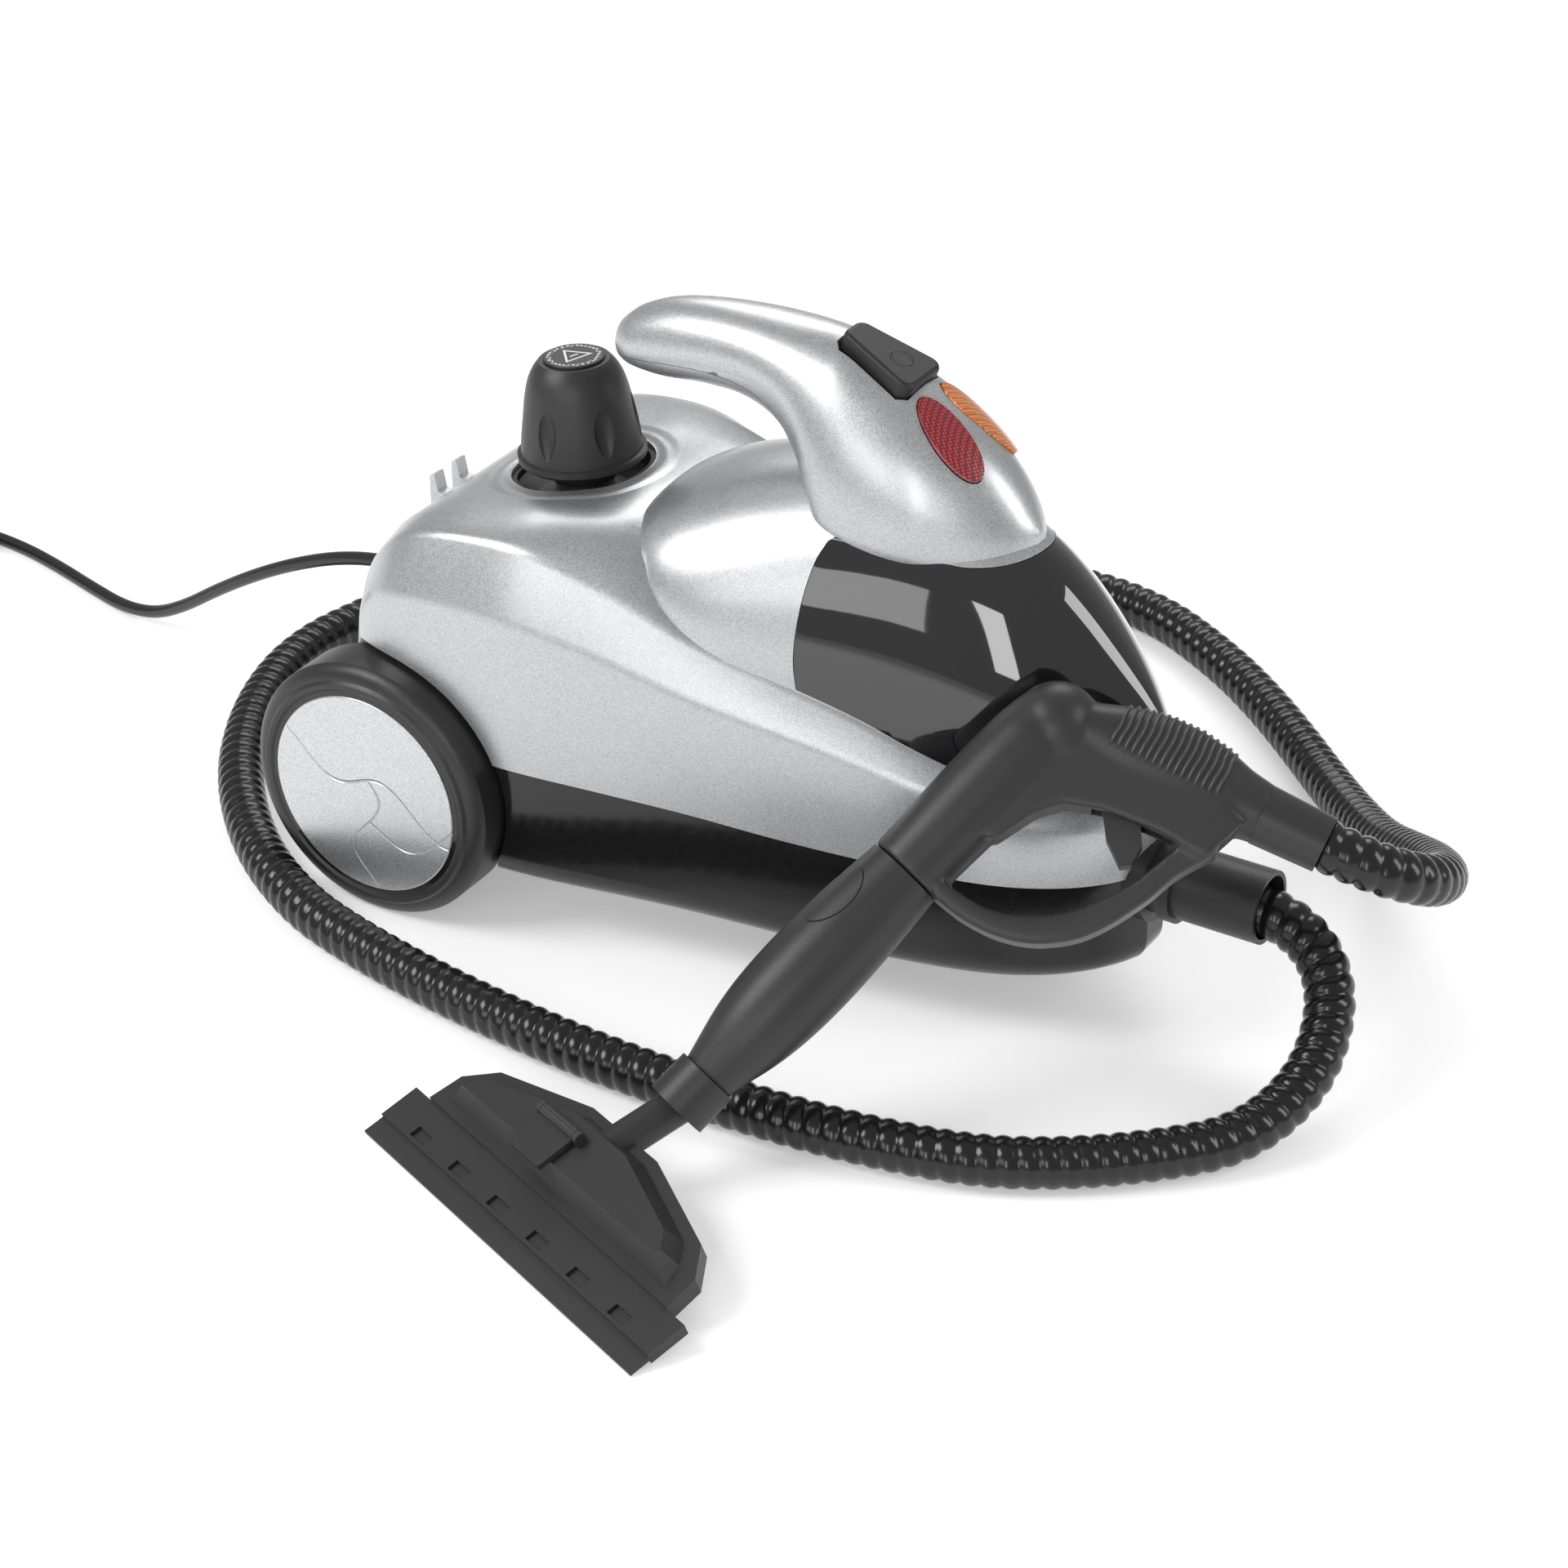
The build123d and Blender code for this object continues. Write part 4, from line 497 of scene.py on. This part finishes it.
def carried_rings(points, radii, sides, twist=0.0):
    """Rings round a line, carried along it without twisting, as vertices and faces."""
    way = (points[1] - points[0]).normalized()
    side = way.orthogonal().normalized()
    verts = []
    for index, point in enumerate(points):
        before = points[max(index - 1, 0)]
        after = points[min(index + 1, len(points) - 1)]
        new_way = (after - before).normalized()
        side = (side - new_way * side.dot(new_way)).normalized()
        up = new_way.cross(side)
        for corner in range(sides):
            angle = 2 * pi * corner / sides
            radius = radii(index, angle)
            verts.append(point + (side * cos(angle) + up * sin(angle)) * radius)
    faces = []
    for index in range(len(points) - 1):
        for corner in range(sides):
            a = index * sides + corner
            b = index * sides + (corner + 1) % sides
            faces.append((a, b, b + sides, a + sides))
    faces.append(tuple(reversed(range(sides))))
    faces.append(tuple(range(len(verts) - sides, len(verts))))
    return verts, faces


# ---- steam hose --------------------------------------------------------------------------------------------
HOSE_ROUTE = [
    (430, 0, 78), (448, 0, 78), (472, -5, 67), (486, -20, 48), (490, -52, 27), (476, -92, 14),
    (445, -124, 12.6), (412, -151, 12.6), (379, -169, 12.6), (342, -179, 12.6), (302, -186, 12.6),
    (260, -189.5, 12.6), (214, -191.2, 12.6), (167, -190.6, 12.6), (116, -186, 12.6), (72, -180, 12.6),
    (22, -170, 12.6), (-24, -156, 12.6), (-78, -123, 12.6), (-128, -73, 12.6), (-161, -20, 12.6),
    (-179, 28, 12.6), (-183, 67, 12.6), (-178, 96, 12.6), (-168, 135, 12.6), (-145, 180, 12.6),
    (-105, 225, 12.6), (-55, 265, 12.6), (0, 300, 12.6), (60, 330, 12.6), (130, 352, 12.6),
    (202, 352, 12.6), (265, 317, 12.6), (306, 286, 12.6), (343, 253, 12.6), (371, 225, 14),
    (405, 185, 24), (440, 140, 42), (472, 100, 66), (500, 60, 90), (519, 22, 110), (521, -9, 126),
    (503.1, -28.8, 137.8), (480.6, -33.1, 145.2),
]
HOSE_RADIUS = 0.0125
HOSE_GROOVE = 0.0016
HOSE_PITCH = 0.0092
HOSE_SIDES = 20
HOSE_STEPS = 8            # rings in one turn of the corrugation

hose_line, hose_length = even_points(spline_points(HOSE_ROUTE), HOSE_PITCH / HOSE_STEPS)


def corrugation(index, angle):
    """A rounded crest and a narrow groove that wind round the hose."""
    turn = index / HOSE_STEPS - angle / (2 * pi)
    wave = abs(sin(pi * turn)) ** 0.7
    return HOSE_RADIUS - HOSE_GROOVE * (1 - wave)


hose_mesh = bpy.data.meshes.new("hose_vinyl")
hose_verts, hose_faces = carried_rings(hose_line, corrugation, HOSE_SIDES)
hose_mesh.from_pydata(hose_verts, [], hose_faces)
hose_mesh.shade_smooth()
hose = bpy.data.objects.new("hose_vinyl", hose_mesh)
scene.collection.objects.link(hose)
hose_mesh.materials.append(HOSE_BLACK)
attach(hose, "cleaner")
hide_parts("steam_hose")

# ---- mains cord --------------------------------------------------------------------------------------------
CORD_ROUTE = [
    (-74, 25, 110), (-101, 28, 106), (-134, 31, 97), (-168, 34, 82), (-199, 37, 65), (-230, 42, 45),
    (-258, 47, 25), (-285, 52, 10), (-313, 57, 4.2), (-345, 66, 3.9), (-378, 76, 3.9), (-412, 84, 3.9),
    (-446, 86.5, 3.9), (-476, 84, 3.9),
]
CORD_RADIUS = 0.00375
COIL_CENTRE = (-470, 30)
COIL_POINTS = 12          # to a turn
COIL_LAYERS = [(3.9, [55.5, 48, 40.5, 33.5]), (10.6, [37, 44.5, 52]), (17.2, [55.5, 48, 40.5, 33.5]),
               (22.2, [37, 44.5])]

coil_route = []
start_angle = degrees(atan2(84 - 30, -476 + 470))
turn_angle = start_angle
for level, radii in COIL_LAYERS:
    for ring, radius in enumerate(radii):
        following = radii[ring + 1] if ring + 1 < len(radii) else radius
        for corner in range(COIL_POINTS):
            share = corner / COIL_POINTS
            turn_angle += 360 / COIL_POINTS
            reach = radius + (following - radius) * share
            coil_route.append((COIL_CENTRE[0] + reach * cos(radians(turn_angle)),
                               COIL_CENTRE[1] + reach * sin(radians(turn_angle)), level))
cord_curve = route_curve("cord_vinyl", CORD_ROUTE + coil_route)
cord_curve.bevel_depth = CORD_RADIUS
cord_curve.bevel_resolution = 3
cord_curve.use_fill_caps = True
cord = bpy.data.objects.new("cord_vinyl", cord_curve)
scene.collection.objects.link(cord)
cord_curve.materials.append(CORD_BLACK)
cord_points = spline_points(CORD_ROUTE + coil_route)
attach(cord, "cleaner")
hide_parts("mains_cord", "mains_coil")

# ---- body surfaces -----------------------------------------------------------------------------------------
# Body stations: x, half width at the belt, then the low and the high edge of the shoulder band, the edge
# of the deck and the height of the deck in the middle.
BODY = [
    (-46, 40, (38, 112), (34, 119), (24, 122), 122),
    (-44, 54, (51, 118), (46, 128), (34, 133), 134),
    (-39, 70, (67, 129), (61, 142), (46, 149), 150),
    (-27, 92, (88, 149), (79, 168), (60, 175), 176),
    (-9, 104, (101, 168), (88, 191), (68, 197), 197),
    (12, 109, (106.5, 177), (92, 206), (72, 209), 207),
    (45, 110, (107, 180), (93, 213), (72, 217), 213),
    (80, 107.5, (105, 178), (91, 212), (72, 221), 219),
    (125, 100, (97, 168), (84, 197), (68, 213), 219),
    (172, 92.5, (90, 156), (77, 180), (60, 184), 184),
    (216, 87.5, (84, 149), (71.5, 169), (55, 172), 172),
    (251, 82, (78, 142), (66.5, 159.5), (50, 163), 163),
    (296, 73, (69, 131), (58.5, 142.5), (42, 145), 145),
    (330, 62, (58, 123), (49.5, 132.5), (36, 134), 134),
    (356, 46, (43, 117), (37, 126), (26, 127), 127),
    (373, 28, (26, 113), (23, 121.5), (16, 122), 122),
    (383, 8, (7.5, 111), (6.5, 118), (4, 118.5), 118.5),
]
# Dome stations: x, half width and height of the foot, height of the crown.
DOME = [
    (108, 20, 216, 219), (111, 40, 213, 224.5), (117, 55, 206, 229.5), (128, 67, 200, 236), (145, 75, 190, 244),
    (172, 77, 178, 253), (216, 71.5, 166, 262), (251, 66.5, 157, 262), (275, 62.5, 148.5, 257.5),
    (296, 58.5, 140.5, 250), (314, 54.5, 135, 240.5), (330, 49.5, 131, 228.5), (345, 43, 127, 214),
    (358, 35.5, 124, 199), (368, 27.5, 122, 186), (376, 19, 120, 174), (381.5, 11, 119, 163), (384, 4, 118, 150),
]
# Handle and head stations: x, height of the top, of the widest line and of the underside, half width.
HANDLE = [
    (76.2, 295, 293, 291, 1.5), (77.5, 299.5, 292.5, 285.5, 7), (81, 304, 292, 281, 12),
    (90, 311, 294, 278.5, 16.5), (108, 318.5, 297, 278, 19.5), (132, 323, 301, 280.5, 21.5),
    (158, 325, 303, 279, 24), (180, 325, 298, 268, 28), (194, 324.5, 285, 246, 32.5),
    (204, 323.5, 265, 226, 38.5), (213, 322, 250, 220, 43), (226, 316.8, 244, 220, 45.5),
    (245, 308.5, 241, 216, 45.5), (262, 298.5, 238.5, 212, 42.5), (278, 287.5, 236.5, 208, 36),
    (292, 275, 235.5, 206, 28.5),
    (302, 263, 236, 206, 20.5), (308.5, 252.5, 237, 208, 12), (312, 246, 238, 212, 4),
]
BELT_FALL = 0.035
BELT_MIDDLE = 0.1001


def rings_solid(rings):
    """A closed solid through rings that have as many points each, made from a grid."""
    alone()
    bpy.ops.mesh.primitive_grid_add(x_subdivisions=len(rings) - 1, y_subdivisions=len(rings[0]), size=1)
    piece = bpy.context.object
    mesh = piece.data
    order = sorted(mesh.vertices, key=lambda v: (round(v.co.x, 5), round(v.co.y, 5)))
    across = len(rings[0]) + 1
    for index, vertex in enumerate(order):
        station, corner = divmod(index, across)
        vertex.co = Vector(rings[station][corner % (across - 1)]) / 1000
    bpy.ops.object.mode_set(mode="EDIT")
    bpy.ops.mesh.select_all(action="SELECT")
    bpy.ops.mesh.remove_doubles(threshold=0.00001)
    for end in (rings[0][0][0] / 1000, rings[-1][0][0] / 1000):
        bpy.ops.mesh.select_all(action="DESELECT")
        bpy.ops.object.mode_set(mode="OBJECT")
        for vertex in mesh.vertices:
            vertex.select = abs(vertex.co.x - end) < 0.00001
        bpy.ops.object.mode_set(mode="EDIT")
        bpy.ops.mesh.select_mode(type="VERT")
        bpy.ops.mesh.edge_face_add()
    bpy.ops.mesh.select_all(action="SELECT")
    bpy.ops.mesh.normals_make_consistent(inside=False)
    bpy.ops.object.mode_set(mode="OBJECT")
    return piece


def smooth_between(rows, steps):
    """More rows between the given ones, on a smooth curve through them."""
    flat = [[float(n) for part in row for n in (part if isinstance(part, tuple) else (part,))] for row in rows]
    out = []
    for index in range(len(flat) - 1):
        a = flat[max(index - 1, 0)]
        b, c = flat[index], flat[index + 1]
        d = flat[min(index + 2, len(flat) - 1)]
        span = c[0] - b[0]
        for step in range(steps):
            t = step / steps
            row = [b[0] + span * t]
            for n in range(1, len(b)):
                slope_b = (c[n] - a[n]) / (c[0] - a[0])
                slope_c = (d[n] - b[n]) / (d[0] - b[0])
                row.append((2 * t ** 3 - 3 * t ** 2 + 1) * b[n] + (t ** 3 - 2 * t ** 2 + t) * span * slope_b
                           + (3 * t ** 2 - 2 * t ** 3) * c[n] + (t ** 3 - t ** 2) * span * slope_c)
            out.append(row)
    out.append(flat[-1])
    return out


def soft_corner(before, corner, after, size, steps=3):
    """Points on a rounded corner of a section."""
    start = Vector(corner) + (Vector(before) - Vector(corner)).normalized() * size
    end = Vector(corner) + (Vector(after) - Vector(corner)).normalized() * size
    points = []
    for step in range(steps + 1):
        t = step / steps
        points.append(start.lerp(Vector(corner), t).lerp(Vector(corner).lerp(end, t), t))
    return points


def body_ring(row):
    x, half, low_y, low_z, high_y, high_z, deck_y, deck_z, middle = row
    belt = (half, 1000 * BELT_MIDDLE - BELT_FALL * x)
    size = min(4.0, 0.25 * (Vector((low_y, low_z)) - Vector((high_y, high_z))).length)
    flank = (belt[0] * 0.45 + low_y * 0.55 + 1.2, belt[1] * 0.45 + low_z * 0.55)
    side = [Vector(belt), Vector(flank)]
    side += soft_corner(flank, (low_y, low_z), (high_y, high_z), size)
    side += soft_corner((low_y, low_z), (high_y, high_z), (deck_y, deck_z), size)
    side += [Vector((deck_y, deck_z)), Vector((deck_y * 0.66, middle * 0.6 + deck_z * 0.4)),
             Vector((deck_y * 0.33, middle))]
    ring = [(x, p[0], p[1]) for p in side] + [(x, 0, middle)] + [(x, -p[0], p[1]) for p in reversed(side)]
    ring += [(x, -half * 0.5, belt[1]), (x, 0, belt[1]), (x, half * 0.5, belt[1])]
    return ring


def dome_ring(row, sides=40):
    x, half, foot, crown = row
    ring = []
    for corner in range(sides + 1):
        angle = pi * corner / sides
        ring.append((x, half * cos(angle), foot + (crown - foot) * sin(angle)))
    return ring + [(x, -half * 0.5, foot), (x, 0, foot), (x, half * 0.5, foot)]


def handle_ring(row, sides=48):
    x, top, wide, under, half = row
    ring = []
    for corner in range(sides):
        angle = 2 * pi * corner / sides
        up = sin(angle)
        ring.append((x, half * cos(angle), wide + (top - wide if up > 0 else wide - under) * up))
    return ring


def cutter(outline, half_width):
    """A prism across the body from an outline in side view."""
    alone()
    bpy.ops.mesh.primitive_circle_add(vertices=len(outline), radius=0.1, fill_type="NGON")
    piece = bpy.context.object
    for vertex, (x, z) in zip(piece.data.vertices, outline):
        vertex.co = (x / 1000, -half_width / 1000, z / 1000)
    bpy.ops.object.mode_set(mode="EDIT")
    bpy.ops.mesh.select_all(action="SELECT")
    bpy.ops.mesh.extrude_region_move(TRANSFORM_OT_translate={"value": (0, 2 * half_width / 1000, 0)})
    bpy.ops.mesh.select_all(action="SELECT")
    bpy.ops.mesh.normals_make_consistent(inside=False)
    bpy.ops.object.mode_set(mode="OBJECT")
    return piece


def drum(radius, depth, at, way):
    alone()
    bpy.ops.mesh.primitive_cylinder_add(vertices=128, radius=radius, depth=depth, location=at,
                                        rotation=Vector(way).to_track_quat("Z", "Y").to_euler())
    return bpy.context.object


def carve(piece, tool, operation="DIFFERENCE", keep=False):
    """Cuts piece with tool."""
    alone()
    piece.select_set(True)
    bpy.context.view_layer.objects.active = piece
    cut = piece.modifiers.new("cut", "BOOLEAN")
    cut.operation = operation
    cut.object = tool
    cut.solver = "EXACT"
    bpy.ops.object.modifier_apply(modifier="cut")
    if not keep:
        bpy.data.objects.remove(tool)
    return piece


def copied(piece):
    twin = piece.copy()
    twin.data = piece.data.copy()
    scene.collection.objects.link(twin)
    return twin


def lofted(name, sections, sides=32):
    """A closed tube through sections: the middle, one half axis and the other."""
    verts = []
    for middle, first, second in sections:
        for corner in range(sides):
            angle = 2 * pi * corner / sides
            verts.append((Vector(middle) + Vector(first) * cos(angle) + Vector(second) * sin(angle)) / 1000)
    faces = []
    for index in range(len(sections) - 1):
        for corner in range(sides):
            a = index * sides + corner
            b = index * sides + (corner + 1) % sides
            faces.append((a, b, b + sides, a + sides))
    faces.append(tuple(reversed(range(sides))))
    faces.append(tuple(range(len(verts) - sides, len(verts))))
    mesh = bpy.data.meshes.new(name)
    mesh.from_pydata(verts, [], faces)
    piece = bpy.data.objects.new(name, mesh)
    scene.collection.objects.link(piece)
    alone()
    piece.select_set(True)
    bpy.context.view_layer.objects.active = piece
    bpy.ops.object.mode_set(mode="EDIT")
    bpy.ops.mesh.select_all(action="SELECT")
    bpy.ops.mesh.normals_make_consistent(inside=False)
    bpy.ops.object.mode_set(mode="OBJECT")
    return piece


VISOR_REAR = [(219.8, 168), (217.6, 182), (217.4, 200), (218.6, 222), (221.5, 240)]
VISOR_TOP = [(221.5, 241), (240, 240.8), (262, 238.5), (286, 235.5), (312, 240), (322, 250)]
VISOR_LOW = [(219.8, 168), (239, 163), (258, 157), (276, 149.8), (296, 143), (330, 132.8), (356, 126.2), (392, 118)]
HANDLE_SEAM = [(70, 287), (90, 288.5), (120, 293), (150, 294), (175, 287), (193, 271), (203, 254), (209, 240)]


def rounded(rows):
    """A smooth run of points through rows whose first number always grows or always falls."""
    if rows[0][0] > rows[-1][0]:
        return list(reversed([tuple(r) for r in smooth_between(list(reversed(rows)), 6)]))
    return [tuple(r) for r in smooth_between(rows, 6)]


def visor_outline(gap):
    """The visor in side view, drawn in by gap at its rear and top."""
    rear = [(x + gap, z) for z, x in rounded([(z, x) for x, z in VISOR_REAR])]
    top = [(x, z - gap) for x, z in rounded([(x + 5, z) for x, z in VISOR_TOP])]
    low = rounded(VISOR_LOW)
    corner = rear[-1]
    return rear[:-3] + [(corner[0] + 1.0, corner[1] - 2.2)] + top + [(392, 250)] + list(reversed(low))[:-3]


body = rings_solid([body_ring(row) for row in smooth_between(BODY, 5)])
for way in (-1, 1):
    carve(body, drum(0.0725, 0.05, (0, way * (0.0925 + 0.025), AXLE_HEIGHT), (0, 1, 0)))
carve(body, drum(0.0368, 0.13, FILLER_CENTRE - CAP_AXIS * 0.02, CAP_AXIS))
carve(body, drum(0.0243, 0.1, (0.394, 0, 0.08), (1, 0, 0)))
settle(body, "shell_lacquer", SHELL, "cleaner", smooth=50)

dome = rings_solid([dome_ring(row) for row in smooth_between(DOME, 4)])
visor = carve(copied(dome), cutter(visor_outline(0.35), 120), "INTERSECT")
carve(dome, cutter(visor_outline(0.0), 120))
settle(dome, "dome_lacquer", SHELL, "cleaner", smooth=50)
settle(visor, "visor_smoked", VISOR, "cleaner", smooth=50)
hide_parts("upper_shell")
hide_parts("upper_shell")
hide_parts("front_visor")

head = rings_solid([handle_ring(row) for row in smooth_between(HANDLE, 4)])
seam = rounded(HANDLE_SEAM)
head_low = carve(copied(head), cutter([(x, z - 0.35) for x, z in seam] + [(209, 150), (70, 150)], 80), "INTERSECT")
carve(head, cutter(seam + [(209, 150), (70, 150)], 80))
for way in (-1, 1):
    normal = Vector((0.6, 0.42 * way, 0.68)).normalized()
    length_way = Vector((0.72, 0.14 * way, -0.68))
    length_way = (length_way - normal * length_way.dot(normal)).normalized()
    middle = Vector((269, 13.5 * way, 289))
    carve(head, lofted("lamp_hole", [(middle + normal * depth, length_way * 24.5, normal.cross(length_way) * 10.2)
                                     for depth in (-9, 25)], 64))
button_hole = cutter([(-23.5, -8.8), (-19.5, -12.8), (17.5, -18), (22.4, -14.5), (22.4, 14.5), (17.5, 18),
                      (-19.5, 12.8), (-23.5, 8.8)], 9)
button_hole.data.transform(place(BUTTON_CENTRE, BUTTON_ALONG, BUTTON_NORMAL * -1))
carve(head, button_hole)
settle(head, "handle_lacquer", SILVER, "cleaner", smooth=50)
settle(head_low, "handle_lower_lacquer", SILVER, "cleaner", smooth=50)
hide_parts("handle_upper_shell")
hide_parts("handle_lower_shell")


# ---- steam gun ---------------------------------------------------------------------------------------------
def slab(outline, half_width):
    """A prism with an outline in the gun's own u and v."""
    piece = cutter(outline, half_width)
    piece.data.transform(Matrix(((1, 0, 0, 0), (0, 0, 1, 0), (0, -1, 0, 0), (0, 0, 0, 1))))
    return piece


def joined(pieces):
    alone()
    for piece in pieces:
        piece.select_set(True)
    bpy.context.view_layer.objects.active = pieces[0]
    bpy.ops.object.join()
    return pieces[0]


BARREL = [(139.6, 18.6), (141, 19), (155, 19.4), (170, 20), (190, 20.5), (208, 20.6), (222, 20.2), (236, 18.4),
          (246, 14.5), (252, 9)]
GRIP = [(-4, 9, 15), (3, 11, 16), (12, 14, 16.6), (21, 17.2, 17), (32, 20.4, 17), (45, 22.6, 16.6),
        (60, 22.8, 16.2), (75, 20.5, 15.6), (88, 16.4, 15), (98, 14.8, 14.6), (104, 14, 14)]
GRIP_START = (242.0, -4.0)
GRIP_WAY = (0.3, -0.954)
GUARD_OUTER = [(139.4, -18), (141, -34), (147, -53), (158, -69), (176, -82), (204, -90), (224, -92.5), (244, -99)]
GUARD_INNER = [(148, -14), (149.5, -26), (153, -40), (161, -53), (178, -68), (205, -79), (224, -82), (244, -84)]
WEB = [(172, -10), (178, -20.5), (200, -25.5), (212, -32), (222, -47), (232, -72), (238, -96), (262, -98), (262, -60),
       (240, -4)]
TRIGGER_ROOM = [(227, -35), (203, -58), (203, -79.5), (243, -79.5), (246, -60), (246, -36)]


def on_grip(along, out=0.0, side=0.0):
    """A point of the grip: along it, out from its middle line, and to the side."""
    return Vector((GRIP_START[0] + GRIP_WAY[0] * along - GRIP_WAY[1] * out,
                   GRIP_START[1] + GRIP_WAY[1] * along + GRIP_WAY[0] * out, side))


def grip_size(along):
    for (a, high_a, wide_a), (b, high_b, wide_b) in zip(GRIP, GRIP[1:]):
        if along <= b:
            share = (along - a) / (b - a)
            return high_a + (high_b - high_a) * share, wide_a + (wide_b - wide_a) * share
    return GRIP[-1][1:]


barrel = lofted("barrel", [((u, 0, 0), (0, r, 0), (0, 0, r)) for u, r in BARREL], 40)
elbow = lofted("elbow", [((237 + 21.2 * sin(t), -3.5, 0), (0, 21.2 * cos(t), 0), (0, 0, 20.4 * cos(t)))
                         for t in [radians(a) for a in range(-80, 81, 10)]], 40)
grip = lofted("grip", [(on_grip(along), on_grip(along, high) - on_grip(along), (0, 0, wide))
                       for along, high, wide in GRIP], 40)
web = slab(WEB, 15.4)
guard = slab([tuple(p) for p in rounded([(u + v * 1e-6, v) for u, v in GUARD_OUTER])]
             + list(reversed([tuple(p) for p in rounded(GUARD_INNER)])), 13.0)
gun = joined([barrel, elbow, grip, web, guard])
moulded = gun.modifiers.new("moulded", "REMESH")
moulded.mode = "VOXEL"
moulded.voxel_size = 0.0011
softened = gun.modifiers.new("softened", "SMOOTH")
softened.factor = 0.6
softened.iterations = 18
alone()
gun.select_set(True)
bpy.context.view_layer.objects.active = gun
bpy.ops.object.modifier_apply(modifier="moulded")
bpy.ops.object.modifier_apply(modifier="softened")
carve(gun, slab(TRIGGER_ROOM, 8.9))

RIB_COUNT = 16
ribs = []
for rib in range(RIB_COUNT):
    along = 25 + 3.55 * rib
    high, wide = grip_size(along)
    steps = 26
    line = []
    for step in range(steps + 1):
        angle = radians(-104 + 208 * step / steps)
        thick = 1.15 if 0 < step < steps else 0.4
        out = Vector((0, cos(angle), sin(angle)))
        middle = on_grip(along, (high - 0.5) * out.y, (wide - 0.5) * out.z)
        normal = (on_grip(0, out.y / high, out.z / wide) - on_grip(0)).normalized()
        line.append((middle, normal * thick * 1.3, (on_grip(1) - on_grip(0)) * thick))
    ribs.append(lofted("rib", line, 8))
gun = joined([gun] + ribs)
GUN_CHARCOAL = satin_charcoal("gun charcoal")
settle(gun, "gun_charcoal", GUN_CHARCOAL, "cleaner", GUN_FRAME, smooth=35)
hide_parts("gun_shell_near")
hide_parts("gun_shell_far")

# ---- floor and light ---------------------------------------------------------------------------------------
alone()
bpy.ops.mesh.primitive_plane_add(size=8, location=(0.2, 0, 0))
floor = bpy.context.object
floor.name = "floor"
PAPER_GLOW = 0.33
WORLD_LIGHT = 0.42
paper = Finish("paper", Roughness=0.7, Specular_IOR_Level=0.1)
paper.set(Base_Color=paper.mix(paper.noise(3), colour(0.86), colour(0.89)))
paper.set(Emission_Color=paper.mix(paper.noise(3), colour(0.97), colour(1.0)),
          Emission_Strength=PAPER_GLOW)
floor.data.materials.append(paper.material)
floor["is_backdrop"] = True

world = bpy.data.worlds.new("studio")
scene.world = world
world.use_nodes = True
world.node_tree.nodes["Background"].inputs[0].default_value = (1, 1, 1, 1)
world.node_tree.nodes["Background"].inputs[1].default_value = WORLD_LIGHT


def softbox(name, at, to, width, height, power):
    data = bpy.data.lights.new(name, "AREA")
    data.shape = "RECTANGLE"
    data.size = width
    data.size_y = height
    data.energy = power
    light = bpy.data.objects.new(name, data)
    light.location = at
    light.rotation_euler = (Vector(to) - Vector(at)).to_track_quat("-Z", "Y").to_euler()
    scene.collection.objects.link(light)


softbox("key", (-0.95, -1.15, 1.65), (0.12, 0, 0.15), 1.1, 0.9, 26)
softbox("back", (-0.35, 1.1, 1.25), (0.15, 0, 0.15), 1.2, 0.7, 9)
softbox("window", (-0.05, -2.10, 0.95), (0.2, 0, 0.15), 0.95, 0.75, 6)
softbox("strip", (0.98, -2.00, 0.90), (0.28, 0, 0.15), 0.36, 1.0, 7)
softbox("right", (1.6, 0.4, 0.9), (0.2, 0, 0.15), 0.5, 1.0, 8)

scene.view_settings.view_transform = "Standard"

low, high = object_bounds()
